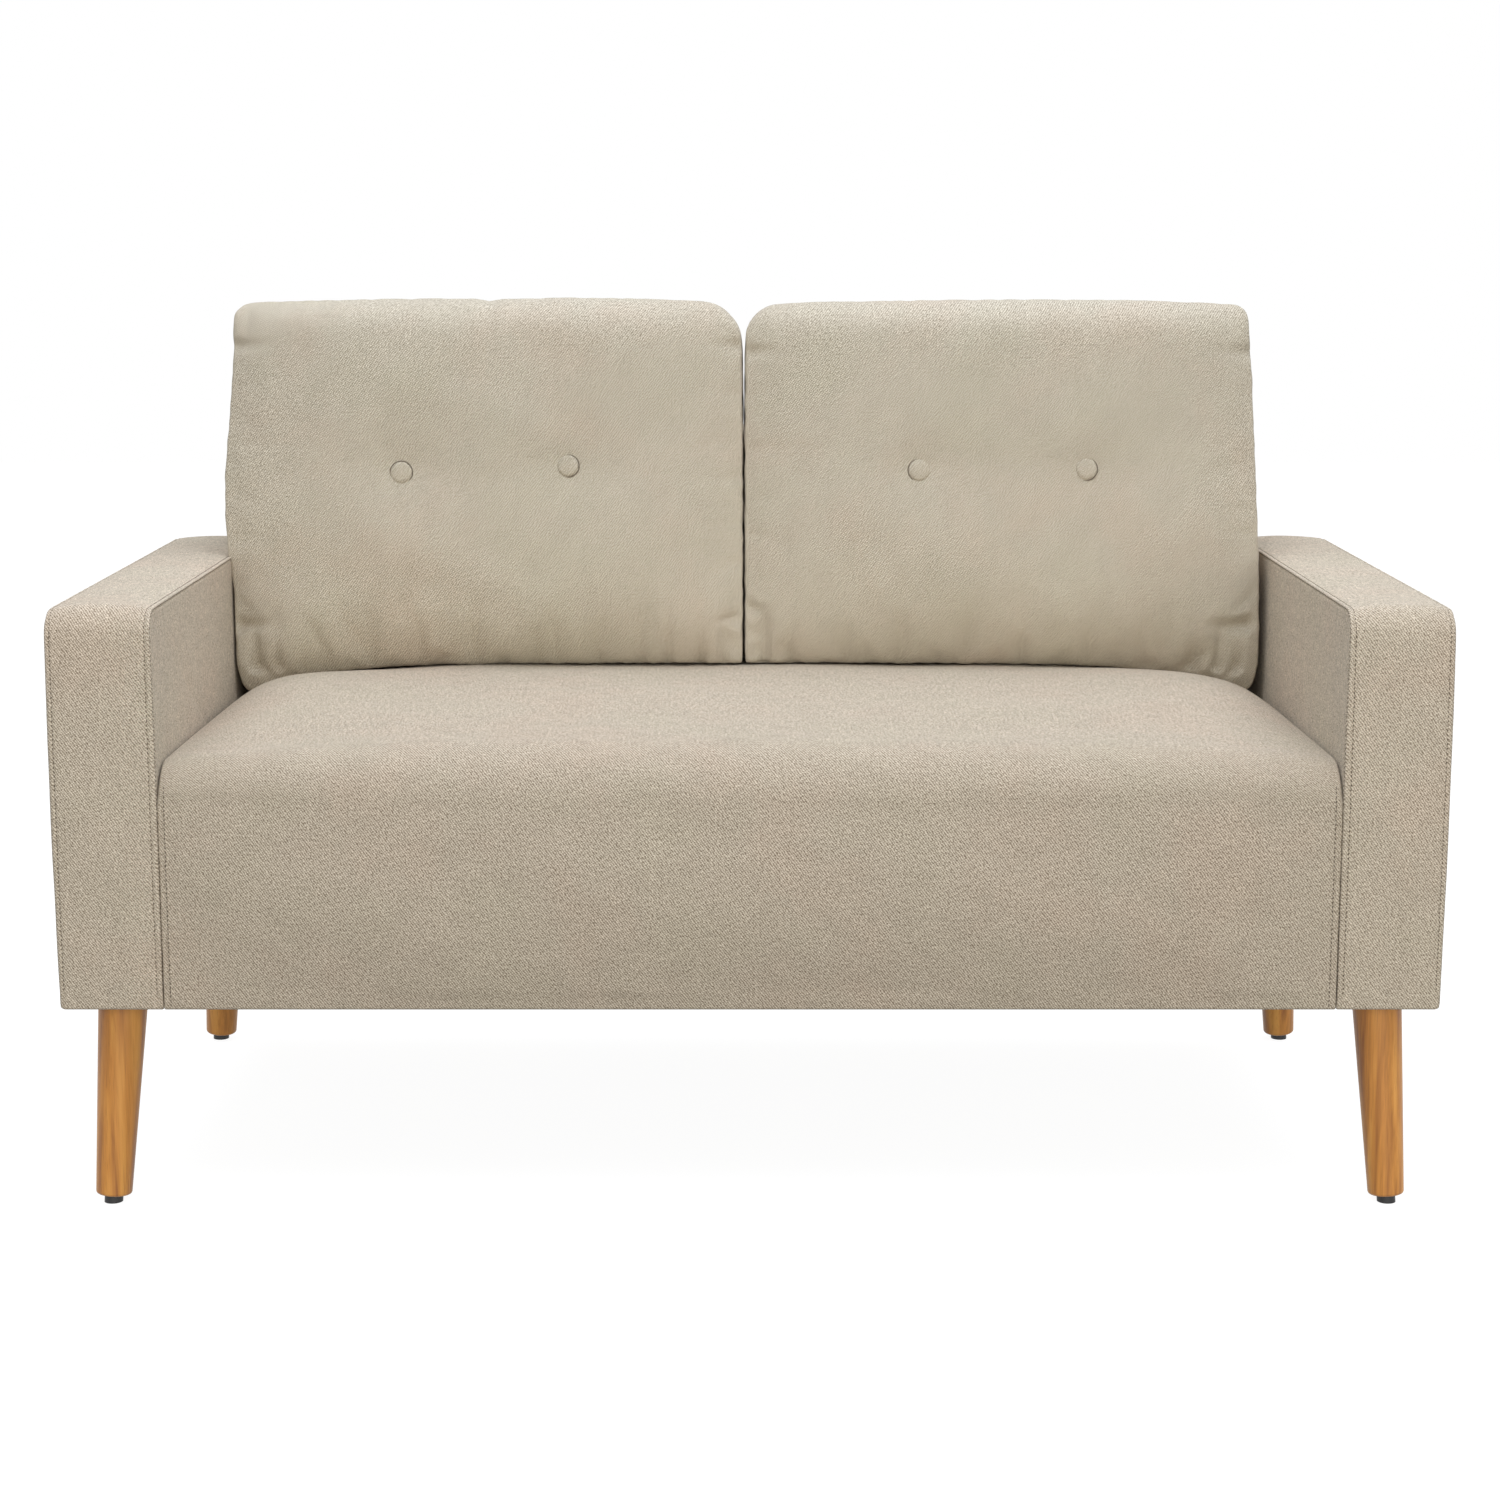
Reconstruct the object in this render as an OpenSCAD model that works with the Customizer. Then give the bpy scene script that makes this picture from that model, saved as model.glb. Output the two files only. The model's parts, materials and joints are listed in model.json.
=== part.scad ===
// A two seat settee: padded box arms, a tight crowned seat on sinuous springs,
// an upholstered back and two loose tufted back cushions, on four splayed legs.
// +X is to the right seen from the front, the front faces -Y and Z is up.
// The origin is on the floor, under the middle of the settee.

/* [Overall] */
// Width over the outer faces of the two arms
settee_w = 1320; // [1240:10:1500]
// Depth of the arms from front to back
arm_d = 660; // [630:10:740]
// Height of the upholstery's underside above the floor
base_z = 204; // [170:2:230]

/* [Arms] */
// Width of one arm
arm_w = 100; // [90:1:130]
// Height of the long edges of the arm's top above the floor
arm_h = 588; // [560:2:640]
// Rise of the arm's padded top along its middle line
arm_crown = 4; // [0:1:10]
// Radius where the arm's front turns into its top
arm_front_r = 25; // [15:1:40]
// Radius where the arm's top turns into its rear
arm_rear_r = 40; // [20:1:60]
// Softening along the two seams that run round the arm
arm_edge_r = 8; // [3:1:12]

/* [Seat] */
// Height of the seat's top at the arms, at the front, above the floor
seat_edge_h = 442; // [420:2:480]
// How far the seat's top falls from front to rear along the arms
seat_rear_drop = 17; // [0:1:30]
// Rise of the seat's middle over its ends, at the front
seat_crown_front = 14; // [5:1:25]
// Rise of the seat's middle over its ends, at the rear
seat_crown_rear = 42; // [15:1:50]
// How far the seat's front panel swells forward of the arms
seat_bulge = 10; // [2:1:20]
// Radius of the seat's front nose at the arms
seat_nose_r = 32; // [20:1:50]
// What the nose radius gains towards the middle
seat_nose_gain = 24; // [0:1:40]

/* [Back] */
// Depth of the back at its foot
back_base_d = 132; // [115:1:150]
// Height of the back's top above the floor
back_h = 720; // [660:5:760]
// Backward rake of the back's front face, in degrees
back_rake = 5.5; // [2:0.5:7]
// Height above the floor at which the rake starts
back_rake_z = 430; // [400:5:450]

/* [Back cushions] */
// Room left beside the right cushion, with both cushions pushed to the left
cushion_spare = 14.4; // [4.4:1:40.4]
// Height of a cushion along its lean
cushion_h = 405; // [370:1:440]
// Thickness from the rear face to the front seam
cushion_box_t = 102; // [80:1:120]
// How far the front panel swells forward of its seam
cushion_crown = 42; // [20:1:55]
// How far the lower and upper seams are drawn back behind the side seams
cushion_tuck = 18; // [5:1:25]
// Distance between the two buttons of a cushion
button_pitch = 178; // [140:2:220]
// Diameter of a covered button
button_d = 24; // [18:1:30]
// How deep a button is drawn into the cushion's front
tuft_depth = 13; // [6:1:20]

/* [Legs] */
// Diameter of a leg at its top
leg_top_d = 48; // [36:1:52]
// Diameter of a leg at its foot
leg_foot_d = 35; // [25:1:40]
// Outward lean of a leg, sideways and lengthways, in degrees
leg_splay = 4; // [0:0.5:6]
// Distance from the arm's front or rear to the middle of the leg's top
leg_inset = 54; // [45:1:70]
// Diameter of the plastic glide under a leg
glide_d = 18; // [14:1:22]
// Height of the glide
glide_h = 8; // [5:1:12]

/* [Springs] */
// Number of sinuous springs
spring_count = 8; // [5:1:11]
// Diameter of the spring wire
wire_d = 3.8; // [3:0.1:4.5]
// Width of a spring over its bends
spring_w = 58; // [50:1:70]
// Number of bends along a spring
spring_bends = 12; // [10:2:16]

/* [Materials] */
// Thickness of the upholstery fabric with its backing wadding
cover_t = 2; // [1.5:0.1:3]
// Thickness of a cushion's cover
cushion_cover_t = 1.5; // [1:0.1:2]
// Thickness of the seat's rails and of the back's posts
rail_t = 25; // [18:1:30]
// Height of the seat's rails, as a share of the upholstery's height at the seat's edge
rail_h_share = 0.46; // [0.38:0.02:0.5]
// Thickness of the arm's battens
batten_t = 22; // [18:1:28]
// Thickness of the hardboard panels
panel_t = 3; // [2.5:0.5:4]
// Foam on the sides of an arm
arm_side_foam = 10; // [6:1:14]
// Foam on the front of an arm
arm_front_foam = 20; // [10:1:25]
// Foam on the top of an arm
arm_top_foam = 22; // [15:1:35]
// Foam in front of the back's webbing
back_foam_t = 30; // [20:1:36]
// Thickness of the spring insulator felt
felt_t = 3; // [2:0.5:5]
// Thickness of the elastic webbing
web_t = 1.5; // [1:0.5:3]
// Width of one strap of webbing
web_w = 50; // [40:1:70]
// Nominal diameter of the joining bolts
bolt_d = 8; // [6:1:10]

/* [Hidden] */
// Clearance between pieces of one upholstered unit
fit = 0.3;
// Gap between two units that are bolted side by side
unit_gap = 0.5;
// Gap round a loose cushion
cushion_gap = 0.8;
// How far a cut runs past the face that it opens
over = 1;

// Small sizes of the upholstery
bottom_flange = 90;
seat_flange = 20;
corner_r = 6;
corner_share = 0.3;
arm_rear_foam = 10;
seat_front_foam = 18;
dust_t = 0.8;
dust_inset = 8;

// Small sizes of the timber frame
post_t = 40;
joining_rail_h = 70;
stretcher_h_share = 0.55;
block_leg = 45;
block_h_share = 0.72;
back_rail_h = 60;
back_top_foam = 12;
back_front_r = 26;
back_rear_r = 14;

// Small sizes of the fasteners
bolt_play = 0.3;
washer_d = 22;
washer_t = 1.6;
hex_across = 13;
hex_h = 5.5;
nut_barrel_d = 10;
nut_barrel_h = 9;
nut_flange_d = 21;
nut_flange_t = 1.5;
bolt_end = 3;
hanger_in_leg = 40;
hanger_end = 0.8;
glide_pin_d = 3;
glide_pin_h = 18;
glide_trim = 2;
foot_edge_r = 3;

// Small sizes of the springs
clip_wall = 1.2;
clip_w = 16;
clip_l = 12;
pitch_step = 0.5;

// Small sizes of the cushions
zip_slot = 6;
cushion_rear_crown = 6;
cushion_corner_drop = 14;
cushion_sink = 17;
rear_tuft_depth = 7;
button_edge_h = 3;
button_dome_h = 4;
rear_button_d = 18;
rear_button_h = 3;
tie_d = 2;
tuft_reach_share = 1.6;
valley_reach_share = 2;
valley_depth = 4;
button_row_share = 0.545;
tuft_flat = button_d / 2 + 2 * fit;
tuft_reach = tuft_reach_share * button_d;
valley_reach = valley_reach_share * button_d;

// Places on the width
side_half = settee_w / 2 - arm_w;
seat_half = side_half - unit_gap;
arm_mid = settee_w / 2 - arm_w / 2;

// Places on the depth
arm_y0 = seat_bulge / 2 - arm_d / 2;
arm_y1 = arm_y0 + arm_d;
back_y0 = arm_y1 - back_base_d;
seat_y1 = back_y0 - unit_gap;
seat_d = seat_y1 - arm_y0;

// The frame inside an arm, behind its foam
inside = cover_t + fit;
frame_z0 = base_z + inside;
arm_frame_w = arm_w - 2 * (inside + arm_side_foam + fit);
arm_batten_w = arm_frame_w - 2 * panel_t;
arm_fy0 = arm_y0 + inside + arm_front_foam + fit;
arm_fy1 = arm_y1 - inside - arm_rear_foam - fit;
arm_fz1 = arm_h - inside - arm_top_foam - fit;
arm_frame_d = arm_fy1 - arm_fy0;
arm_post_z0 = frame_z0 + batten_t;
arm_post_h = arm_fz1 - frame_z0 - 2 * batten_t;

// The seat's frame, springs and foam
rail_h = rail_h_share * (seat_edge_h - base_z);
stretcher_h = stretcher_h_share * rail_h;
block_h = block_h_share * rail_h;
rail_x = seat_half - inside;
rail_z1 = frame_z0 + rail_h;
front_rail_y = arm_y0 + inside + seat_front_foam + fit;
rear_rail_y = seat_y1 - inside - rail_t;
side_rail_y = front_rail_y + rail_t;
side_rail_l = rear_rail_y - side_rail_y;
clip_bore_d = wire_d + 2 * fit;
clip_h = clip_bore_d + 2 * clip_wall;
wire_z = rail_z1 + clip_h / 2;
felt_z = rail_z1 + clip_h + fit;
deck_z = felt_z + felt_t + fit;
spring_reach = rear_rail_y - front_rail_y;
spring_pitch = floor(spring_reach / spring_bends / pitch_step) * pitch_step;
spring_run = spring_bends * spring_pitch;
spring_y0 = front_rail_y + (rail_t + spring_reach - spring_run) / 2;
bend_r = spring_pitch / 2;
spring_bar = spring_w - 2 * bend_r - wire_d;
spring_step = 2 * (rail_x - rail_t - spring_w / 2) / spring_count;

// The back's frame, behind its foam and webbing
foam_line = inside + back_foam_t;
web_line = foam_line + fit;
post_line = web_line + web_t;
panel_line = inside + panel_t;
back_fz1 = back_h - inside - back_top_foam - fit;
mid_rail_z = back_rake_z - back_rail_h - corner_r;
top_rail_z = back_fz1 - back_rail_h;
base_rail_t = post_line - inside;
web_count = 6;
web_step = 2 * (rail_x - rail_t) / web_count;

// Bolts: places along an arm, along the back, and their heights
bolt_z = arm_post_z0 + joining_rail_h / 2;
arm_bolt_share = [0.25, 0.75];
back_post_share = 0.5;
arm_bolt_ys = [for (s = arm_bolt_share) arm_y0 + s * seat_d, back_y0 + back_post_share * back_base_d];
back_bolt_share = [-0.8, -0.35, 0.35, 0.8];
back_bolt_z = frame_z0 + back_rail_h / 2;
arm_nut_x = side_half + inside + arm_side_foam + fit + panel_t + batten_t;
arm_head_x = rail_x - rail_t;
back_head_y = back_y0 + inside + base_rail_t;

// Legs: a leg runs down along its own leaning axis to a foot cut square
lean_cos = cos(leg_splay) * cos(leg_splay);
leg_l = base_z / lean_cos - glide_h;
leg_y0 = arm_y0 + leg_inset;
leg_y1 = arm_y1 - leg_inset;

// Cushions: the rear face lies along the raked back
cushion_w = side_half - cushion_gap - cushion_spare / 2;
cushion_half = cushion_w / 2;
cushion_mid_h = cushion_h / 2;
left_cushion_x = -side_half + cushion_gap + cushion_half;
right_cushion_x = left_cushion_x + cushion_w + cushion_gap;
cushion_z = seat_edge_h - seat_rear_drop + seat_crown_rear - cushion_sink + corner_r;
cushion_y = back_y0 + (cushion_z - back_rake_z) * tan(back_rake)
    - (cushion_rear_crown + cushion_gap) / cos(back_rake);
button_h = button_row_share * cushion_h;

$fn = 48;

// Forms: a closed form is lofted through sections, a cover is a lofted shell

// Two triangles on the corners a, b, c, d of a face
function two(a, b, c, d) = [[a, b, c], [a, c, d]];

// Triangles of a section's end face, fanned from its corner c; first is its first point
function fan(first, m, c, flip) = [
    for (k = [0:m - 1]) let (n = (k + 1) % m) if (k != c && n != c)
        flip ? [first + c, first + n, first + k] : [first + c, first + k, first + n]
];

// Triangles between sections, along run edges of a section of m points
function skin(first, n, m, edges, flip) = [
    for (i = [0:n - 2], k = [0:edges - 1])
        let (a = first + i * m + k, b = first + i * m + (k + 1) % m)
            each flip ? two(a, a + m, b + m, b) : two(a, b, b + m, a + m)
];

// Solid through closed sections, whose end faces are fanned from corner c
module lofted(rows, c) {
    n = len(rows);
    m = len(rows[0]);
    polyhedron([for (r = rows) each r], concat(
        skin(0, n, m, m, false),
        fan(0, m, c, true),
        fan((n - 1) * m, m, c, false)
    ));
}

// Shell between two runs of sections, open between each section's first and last point
module lofted_shell(outer, inner, c) {
    n = len(outer);
    m = len(outer[0]);
    q = n * m;
    last = (n - 1) * m;
    polyhedron([for (r = concat(outer, inner)) each r], concat(
        skin(0, n, m, m - 1, false),
        skin(q, n, m, m - 1, true),
        fan(0, m, c, true),
        fan(last, m, c, false),
        fan(q, m, c, false),
        fan(q + last, m, c, true),
        [for (i = [0:n - 2]) each two(i * m, i * m + m, q + i * m + m, q + i * m)],
        [for (i = [0:n - 2]) let (a = i * m + m - 1) each two(a + m, a, q + a, q + a + m)],
        two(m - 1, 0, q, q + m - 1),
        two(last, last + m - 1, q + last + m - 1, q + last)
    ));
}

// Points on an arc in the plane of depth and height
function arc(x, y, z, r, a0, a1, n) = [
    for (i = [0:n]) let (a = a0 + (a1 - a0) * i / n) [x, y + r * cos(a), z + r * sin(a)]
];

// Both halves of a list of stations that mirrors about zero
function both_sides(half) = concat([for (s = half) -s], [0], [for (i = [len(half) - 1:-1:0]) half[i]]);

// Arm: the width stations, with what the edge softening takes off there
function arm_rows(d, lips) = let (
    hw = arm_w / 2 - d,
    near = corner_share * arm_edge_r,
    drop = arm_edge_r - sqrt(arm_edge_r * arm_edge_r - (arm_edge_r - near) * (arm_edge_r - near))
) [
    for (s = [[-hw, arm_edge_r], [near - hw, drop], [arm_edge_r - hw, 0], [-hw / 2, 0], [0, 0],
              [hw / 2, 0], [hw - arm_edge_r, 0], [hw - near, drop], [hw, arm_edge_r]])
        arm_row(s[0], s[1], arm_crown * (1 - s[0] * s[0] / (hw * hw)), d, lips)
];

// Arm: one section from the rear flange over the top to the front flange
function arm_row(x, e, rise, d, lips) = let (
    yf = arm_y0 + d + e,
    yr = arm_y1 - d - e,
    zt = arm_h - d - e + rise,
    zb = base_z + d,
    c = corner_r,
    k = corner_share * corner_r,
    top = yr - arm_rear_r - yf - arm_front_r
) concat(
    lips ? [[x, arm_y1 - bottom_flange, zb]] : [],
    [[x, yr - c, zb], [x, yr - k, zb + k], [x, yr, zb + c]],
    arc(x, yr - arm_rear_r, zt - arm_rear_r, arm_rear_r, 0, 90, 4),
    [for (s = arm_top_share) [x, yf + arm_front_r + s * top, zt]],
    arc(x, yf + arm_front_r, zt - arm_front_r, arm_front_r, 90, 180, 4),
    [[x, yf, zb + c], [x, yf + k, zb + k], [x, yf + c, zb]],
    lips ? [[x, arm_y0 + bottom_flange, zb]] : []
);
arm_fan = 6;
arm_top_share = [0.7, 0.3];

// Seat: height of the padded top at a share across the width and a place on the depth
function seat_edge(y) = seat_edge_h - seat_rear_drop * pow(max(0, (y - arm_y0) / seat_d), 2);
crown_run_share = 0.8;
function seat_swell(y) = let (s = max(0, min(1, (y - arm_y0) / (crown_run_share * seat_d))))
    seat_crown_front + (seat_crown_rear - seat_crown_front) * s * s * (3 - 2 * s);
function seat_top(share, y) = seat_edge(y) + seat_swell(y) * (1 - pow(min(1, abs(share)), 6));

// Seat: one section from the rear flange over the top to the front flange
seat_station_share = [1, 0.985, 0.95, 0.89, 0.8, 0.62, 0.32];
seat_top_share = [0.85, 0.62, 0.4, 0.18];
seat_face_share = [0.75, 0.5, 0.25];
function seat_upper(share, d) = let (
    x = share * (seat_half - d),
    r = seat_nose_r + seat_nose_gain * (1 - pow(share, 4)),
    c = corner_r,
    k = corner_share * corner_r,
    yf = arm_y0 + d,
    yr = seat_y1 - d,
    yn = arm_y0 + r,
    zn = seat_top(share, yn) - r,
    zb = base_z + d,
    zr = seat_top(share, seat_y1) - d,
    swell = seat_bulge * (1 - pow(share, 6))
) concat(
    [[x, yr, zr - c], [x, yr - k, zr - k], [x, yr - c, zr]],
    [for (s = seat_top_share) let (y = yn + s * (yr - c - yn)) [x, y, seat_top(share, y) - d]],
    arc(x, yn, zn, r - d, 90, 180, 4),
    [for (s = seat_face_share) [x, yf - swell * sin(180 * s), zb + c + s * (zn - zb - c)]],
    [[x, yf, zb + c], [x, yf + k, zb + k], [x, yf + c, zb]]
);
function seat_cover_rows(d) = [
    for (s = both_sides(seat_station_share)) let (x = s * (seat_half - d), zb = base_z + d) concat(
        [[x, seat_y1 - seat_flange, zb], [x, seat_y1 - d, zb]],
        seat_upper(s, d),
        [[x, arm_y0 + seat_flange, zb]]
    )
];
seat_fan = 6;
function seat_foam_rows(d) = [
    for (s = both_sides(seat_station_share)) let (
        x = s * (seat_half - d),
        y = front_rail_y - fit
    ) concat(
        [[x, seat_y1 - d, deck_z]],
        seat_upper(s, d),
        [[x, y, base_z + d], [x, y, deck_z]]
    )
];

// Cushion: how far a panel stands off its seam, at shares across and up
function cushion_puff(sx, sh) = (1 - pow(abs(sx), 3)) * (1 - pow(abs(sh), 2.2));

// Cushion: the untufted front and rear, measured forward from the rear seam plane
function cushion_front(sx, sh) = cushion_box_t - cushion_tuck * pow(abs(sh), 6)
    + cushion_crown * cushion_puff(sx, sh) - valley_depth * (1 - pow(abs(sx), 4))
    * exp(-pow((sh * cushion_mid_h + cushion_mid_h - button_h) / valley_reach, 2));
function cushion_rear(sx, sh) = -cushion_rear_crown * cushion_puff(sx, sh);

// Cushion: how strongly a place is drawn in by the nearer button, 1 under the button
function tuft(x, h) = let (
    away = max(abs(abs(x) - button_pitch / 2), abs(h - button_h)) - tuft_flat
) away <= 0 ? 1 : exp(-pow(away / tuft_reach, 2));
button_share_x = button_pitch / cushion_w;
button_share_h = button_h / cushion_mid_h - 1;
button_front_t = cushion_front(button_share_x, button_share_h) - tuft_depth;
button_rear_t = cushion_rear(button_share_x, button_share_h) + rear_tuft_depth;
function blend(a, b, w) = a * (1 - w) + b * w;

// Cushion: a place in the settee's frame from one along the cushion, pressed onto the seat
function cushion_place(cx, x, t, h, d) = let (
    y = cushion_y - t * cos(back_rake) + h * sin(back_rake),
    z = cushion_z + t * sin(back_rake) + h * cos(back_rake)
) [cx + x, y, max(z, seat_top((cx + x) / seat_half, y) + cushion_gap + d)];

// Cushion: one section from the rear lip of its zip slot over the top to the front lip
cushion_station_share = [1, 0.965, 0.87, 0.66];
cushion_low_share = [0.06, 0.17, 0.34];
cushion_high_share = [0.73, 0.87, 0.95];
cushion_side_share = 0.02;
cushion_rows_h = concat(
    [for (s = cushion_low_share) s * cushion_h],
    [button_h - tuft_flat, button_h, button_h + tuft_flat],
    [for (s = cushion_high_share) s * cushion_h]
);
cushion_stations = both_sides(concat(
    [for (s = cushion_station_share) s * cushion_half],
    [for (s = [1, 0, -1]) button_pitch / 2 + s * tuft_flat]
));
function cushion_rows(cx, d) = [
    for (station = cushion_stations) let (
        sx = station / cushion_half,
        thin = 1 - d / cushion_half,
        ease = cushion_corner_drop * pow(abs(sx), 12),
        squash = (cushion_mid_h - ease - d) / cushion_mid_h,
        heights = [for (h = cushion_rows_h)
            abs(h - button_h) > tuft_flat + fit || abs(sx) > cushion_station_share[3]
                ? cushion_mid_h + (h - cushion_mid_h) * squash : h],
        seam = cushion_box_t - cushion_tuck - d,
        low = cushion_mid_h - cushion_mid_h * squash,
        high = cushion_mid_h + cushion_mid_h * squash,
        mid = (seam + d) / 2,
        span = [for (h = concat([low], heights, [high]))
            station * thin * (1 - cushion_side_share * pow(h / cushion_mid_h - 1, 2))],
        top = len(heights) + 1
    ) concat(
        [cushion_place(cx, span[0], mid - zip_slot / 2, low, d),
         cushion_place(cx, span[0], d, low, d)],
        [for (i = [0:len(heights) - 1]) let (
            h = heights[i], sh = h / cushion_mid_h - 1, w = tuft(station, h)
        ) cushion_place(cx, span[i + 1], d + blend(cushion_rear(sx, sh), button_rear_t, w), h, d)],
        [for (t = [d, mid, seam]) cushion_place(cx, span[top], t, high, d)],
        [for (i = [len(heights) - 1:-1:0]) let (
            h = heights[i], sh = h / cushion_mid_h - 1, w = tuft(station, h)
        ) cushion_place(cx, span[i + 1], blend(cushion_front(sx, sh), button_front_t, w) - d, h, d)],
        [cushion_place(cx, span[0], seam, low, d),
         cushion_place(cx, span[0], mid + zip_slot / 2, low, d)]
    )
];
cushion_fan = 12;

// Zip: a strip that closes the slot of the cover, one section at each of its stations
function zip_row(cx, station, half) = let (
    sx = station / cushion_half,
    ease = cushion_corner_drop * pow(abs(sx), 12),
    squash = 1 - cushion_side_share,
    mid = (cushion_box_t - cushion_tuck) / 2
) [
    for (p = [[mid - half, 0], [mid + half, 0], [mid + half, cushion_cover_t], [mid - half, cushion_cover_t]])
        cushion_place(cx, station * (1 - p[1] / cushion_half) * squash, p[0], ease + p[1], p[1])
];

// Puts a piece on a cushion at x across and t forward, in the button row, facing forward
module on_cushion(cx, x, t) {
    translate([
        cx + x,
        cushion_y - t * cos(back_rake) + button_h * sin(back_rake),
        cushion_z + t * sin(back_rake) + button_h * cos(back_rake)
    ]) rotate([90 - back_rake, 0, 0]) children();
}
module each_button(cx, t) {
    for (s = [-1, 1]) on_cushion(cx, s * button_pitch / 2, t) children();
}

// Puts a piece on the right side as drawn, or mirrored on the left
module on_side(side) {
    if (side > 0) children();
    else mirror([1, 0, 0]) children();
}

// A board from its lowest corner and its size
module board(corner, size) {
    translate(corner) cube(size);
}

// A board along the settee's width, cut from a profile of depth and height
module along_width(length) {
    rotate([90, 0, 90]) linear_extrude(height = length, center = true) children();
}

// Places along the bolts that join an arm, from the seat's side outwards
module each_arm_bolt(x) {
    for (y = arm_bolt_ys) translate([x, y, bolt_z]) rotate([0, 90, 0]) children();
}
module arm_bolt_bores(x, length) {
    each_arm_bolt(x) cylinder(h = length, d = bolt_d + 2 * bolt_play);
}

// Places along the bolts that join the back, from the back's inside forwards
module each_back_bolt(y) {
    for (s = back_bolt_share) translate([s * rail_x, y, back_bolt_z]) rotate([90, 0, 0]) children();
}
module back_bolt_bores(y, length) {
    each_back_bolt(y) cylinder(h = length, d = bolt_d + 2 * bolt_play);
}

// The axis of the leg at sx sideways and sy lengthways: 0 is its top and up is along the leg
module leg_axis(sx, sy) {
    translate([sx * arm_mid, sy < 0 ? leg_y0 : leg_y1, base_z])
        rotate([sy * leg_splay, -sx * leg_splay, 0]) children();
}
module hanger_bores(sx) {
    for (sy = [-1, 1]) leg_axis(sx, sy) {
        translate([0, 0, -over])
            cylinder(h = batten_t + inside + 2 * over, d = bolt_d + 2 * bolt_play);
        translate([0, 0, nut_seat - nut_barrel_h - fit])
            cylinder(h = nut_barrel_h + fit + over, d = nut_barrel_d + 2 * fit);
        translate([0, 0, nut_seat - fit / 2])
            cylinder(h = batten_t, d = nut_flange_d + 2 * fit);
    }
}
// Height along the leg's axis of the seat that is sunk for the nut's flange
nut_seat = inside + batten_t - nut_flange_t - washer_t;

// Arm frame
module arm_post(y) {
    color("burlywood")
        board([arm_mid - arm_batten_w / 2, y, arm_post_z0], [arm_batten_w, post_t, arm_post_h]);
}
module arm_front_post(side) on_side(side) arm_post(arm_fy0);
module arm_rear_post(side) on_side(side) arm_post(arm_fy1 - post_t);
module arm_top_rail(side) {
    color("burlywood") on_side(side)
        board([arm_mid - arm_batten_w / 2, arm_fy0, arm_fz1 - batten_t],
            [arm_batten_w, arm_frame_d, batten_t]);
}
module arm_bottom_rail(side) {
    color("burlywood") on_side(side) difference() {
        board([arm_mid - arm_batten_w / 2, arm_fy0, frame_z0], [arm_batten_w, arm_frame_d, batten_t]);
        hanger_bores(1);
    }
}
module arm_joining_rail(side) {
    color("burlywood") on_side(side) difference() {
        board([arm_mid - arm_batten_w / 2, arm_fy0 + post_t, arm_post_z0],
            [batten_t, arm_frame_d - 2 * post_t, joining_rail_h]);
        arm_bolt_bores(side_half, arm_w);
        each_arm_bolt(arm_nut_x - nut_barrel_h - fit)
            cylinder(h = nut_barrel_h + fit + over, d = nut_barrel_d + 2 * fit);
    }
}
module arm_panels(side) {
    color("peru") on_side(side) {
        difference() {
            board([arm_mid - arm_frame_w / 2, arm_fy0, frame_z0],
                [panel_t, arm_frame_d, arm_fz1 - frame_z0]);
            arm_bolt_bores(side_half, arm_w / 2);
        }
        board([arm_mid + arm_batten_w / 2, arm_fy0, frame_z0], [panel_t, arm_frame_d, arm_fz1 - frame_z0]);
    }
}

// Arm padding and cover
module arm_foam(side) {
    color("lemonchiffon") on_side(side) difference() {
        translate([arm_mid, 0, 0]) lofted(arm_rows(inside, false), arm_fan - 1);
        board([arm_mid - arm_frame_w / 2 - fit, arm_fy0 - fit, base_z],
            [arm_frame_w + 2 * fit, arm_frame_d + 2 * fit, arm_fz1 + fit - base_z]);
        arm_bolt_bores(side_half, arm_w / 2);
    }
}
module arm_cover(side) {
    color("tan") on_side(side) difference() {
        translate([arm_mid, 0, 0]) lofted_shell(arm_rows(0, true), arm_rows(cover_t, true), arm_fan);
        arm_bolt_bores(side_half - over, arm_w / 2);
        for (sy = [-1, 1]) leg_axis(1, sy)
            translate([0, 0, -over]) cylinder(h = cover_t + 2 * over, d = bolt_d + 2 * bolt_play);
    }
}

// Seat frame
module seat_front_rail() {
    color("burlywood") board([-rail_x, front_rail_y, frame_z0], [2 * rail_x, rail_t, rail_h]);
}
module seat_rear_rail() {
    color("burlywood") difference() {
        board([-rail_x, rear_rail_y, frame_z0], [2 * rail_x, rail_t, rail_h]);
        back_bolt_bores(seat_y1, seat_d / 2);
        each_back_bolt(rear_rail_y + nut_barrel_h + fit)
            cylinder(h = nut_barrel_h + fit + over, d = nut_barrel_d + 2 * fit);
    }
}
module seat_side_rail(side) {
    color("burlywood") on_side(side) difference() {
        board([rail_x - rail_t, side_rail_y, frame_z0], [rail_t, side_rail_l, rail_h]);
        arm_bolt_bores(arm_head_x - over, rail_t + 2 * over);
    }
}
module seat_stretcher() {
    color("burlywood") board([-rail_t / 2, side_rail_y, frame_z0], [rail_t, side_rail_l, stretcher_h]);
}
module seat_corner_blocks() {
    color("wheat") for (side = [-1, 1]) on_side(side) {
        translate([rail_x - rail_t, side_rail_y, frame_z0]) linear_extrude(height = block_h)
            polygon([[0, 0], [0, block_leg], [-block_leg, 0]]);
        translate([rail_x - rail_t, rear_rail_y, frame_z0]) linear_extrude(height = block_h)
            polygon([[0, 0], [-block_leg, 0], [0, -block_leg]]);
    }
}

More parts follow.
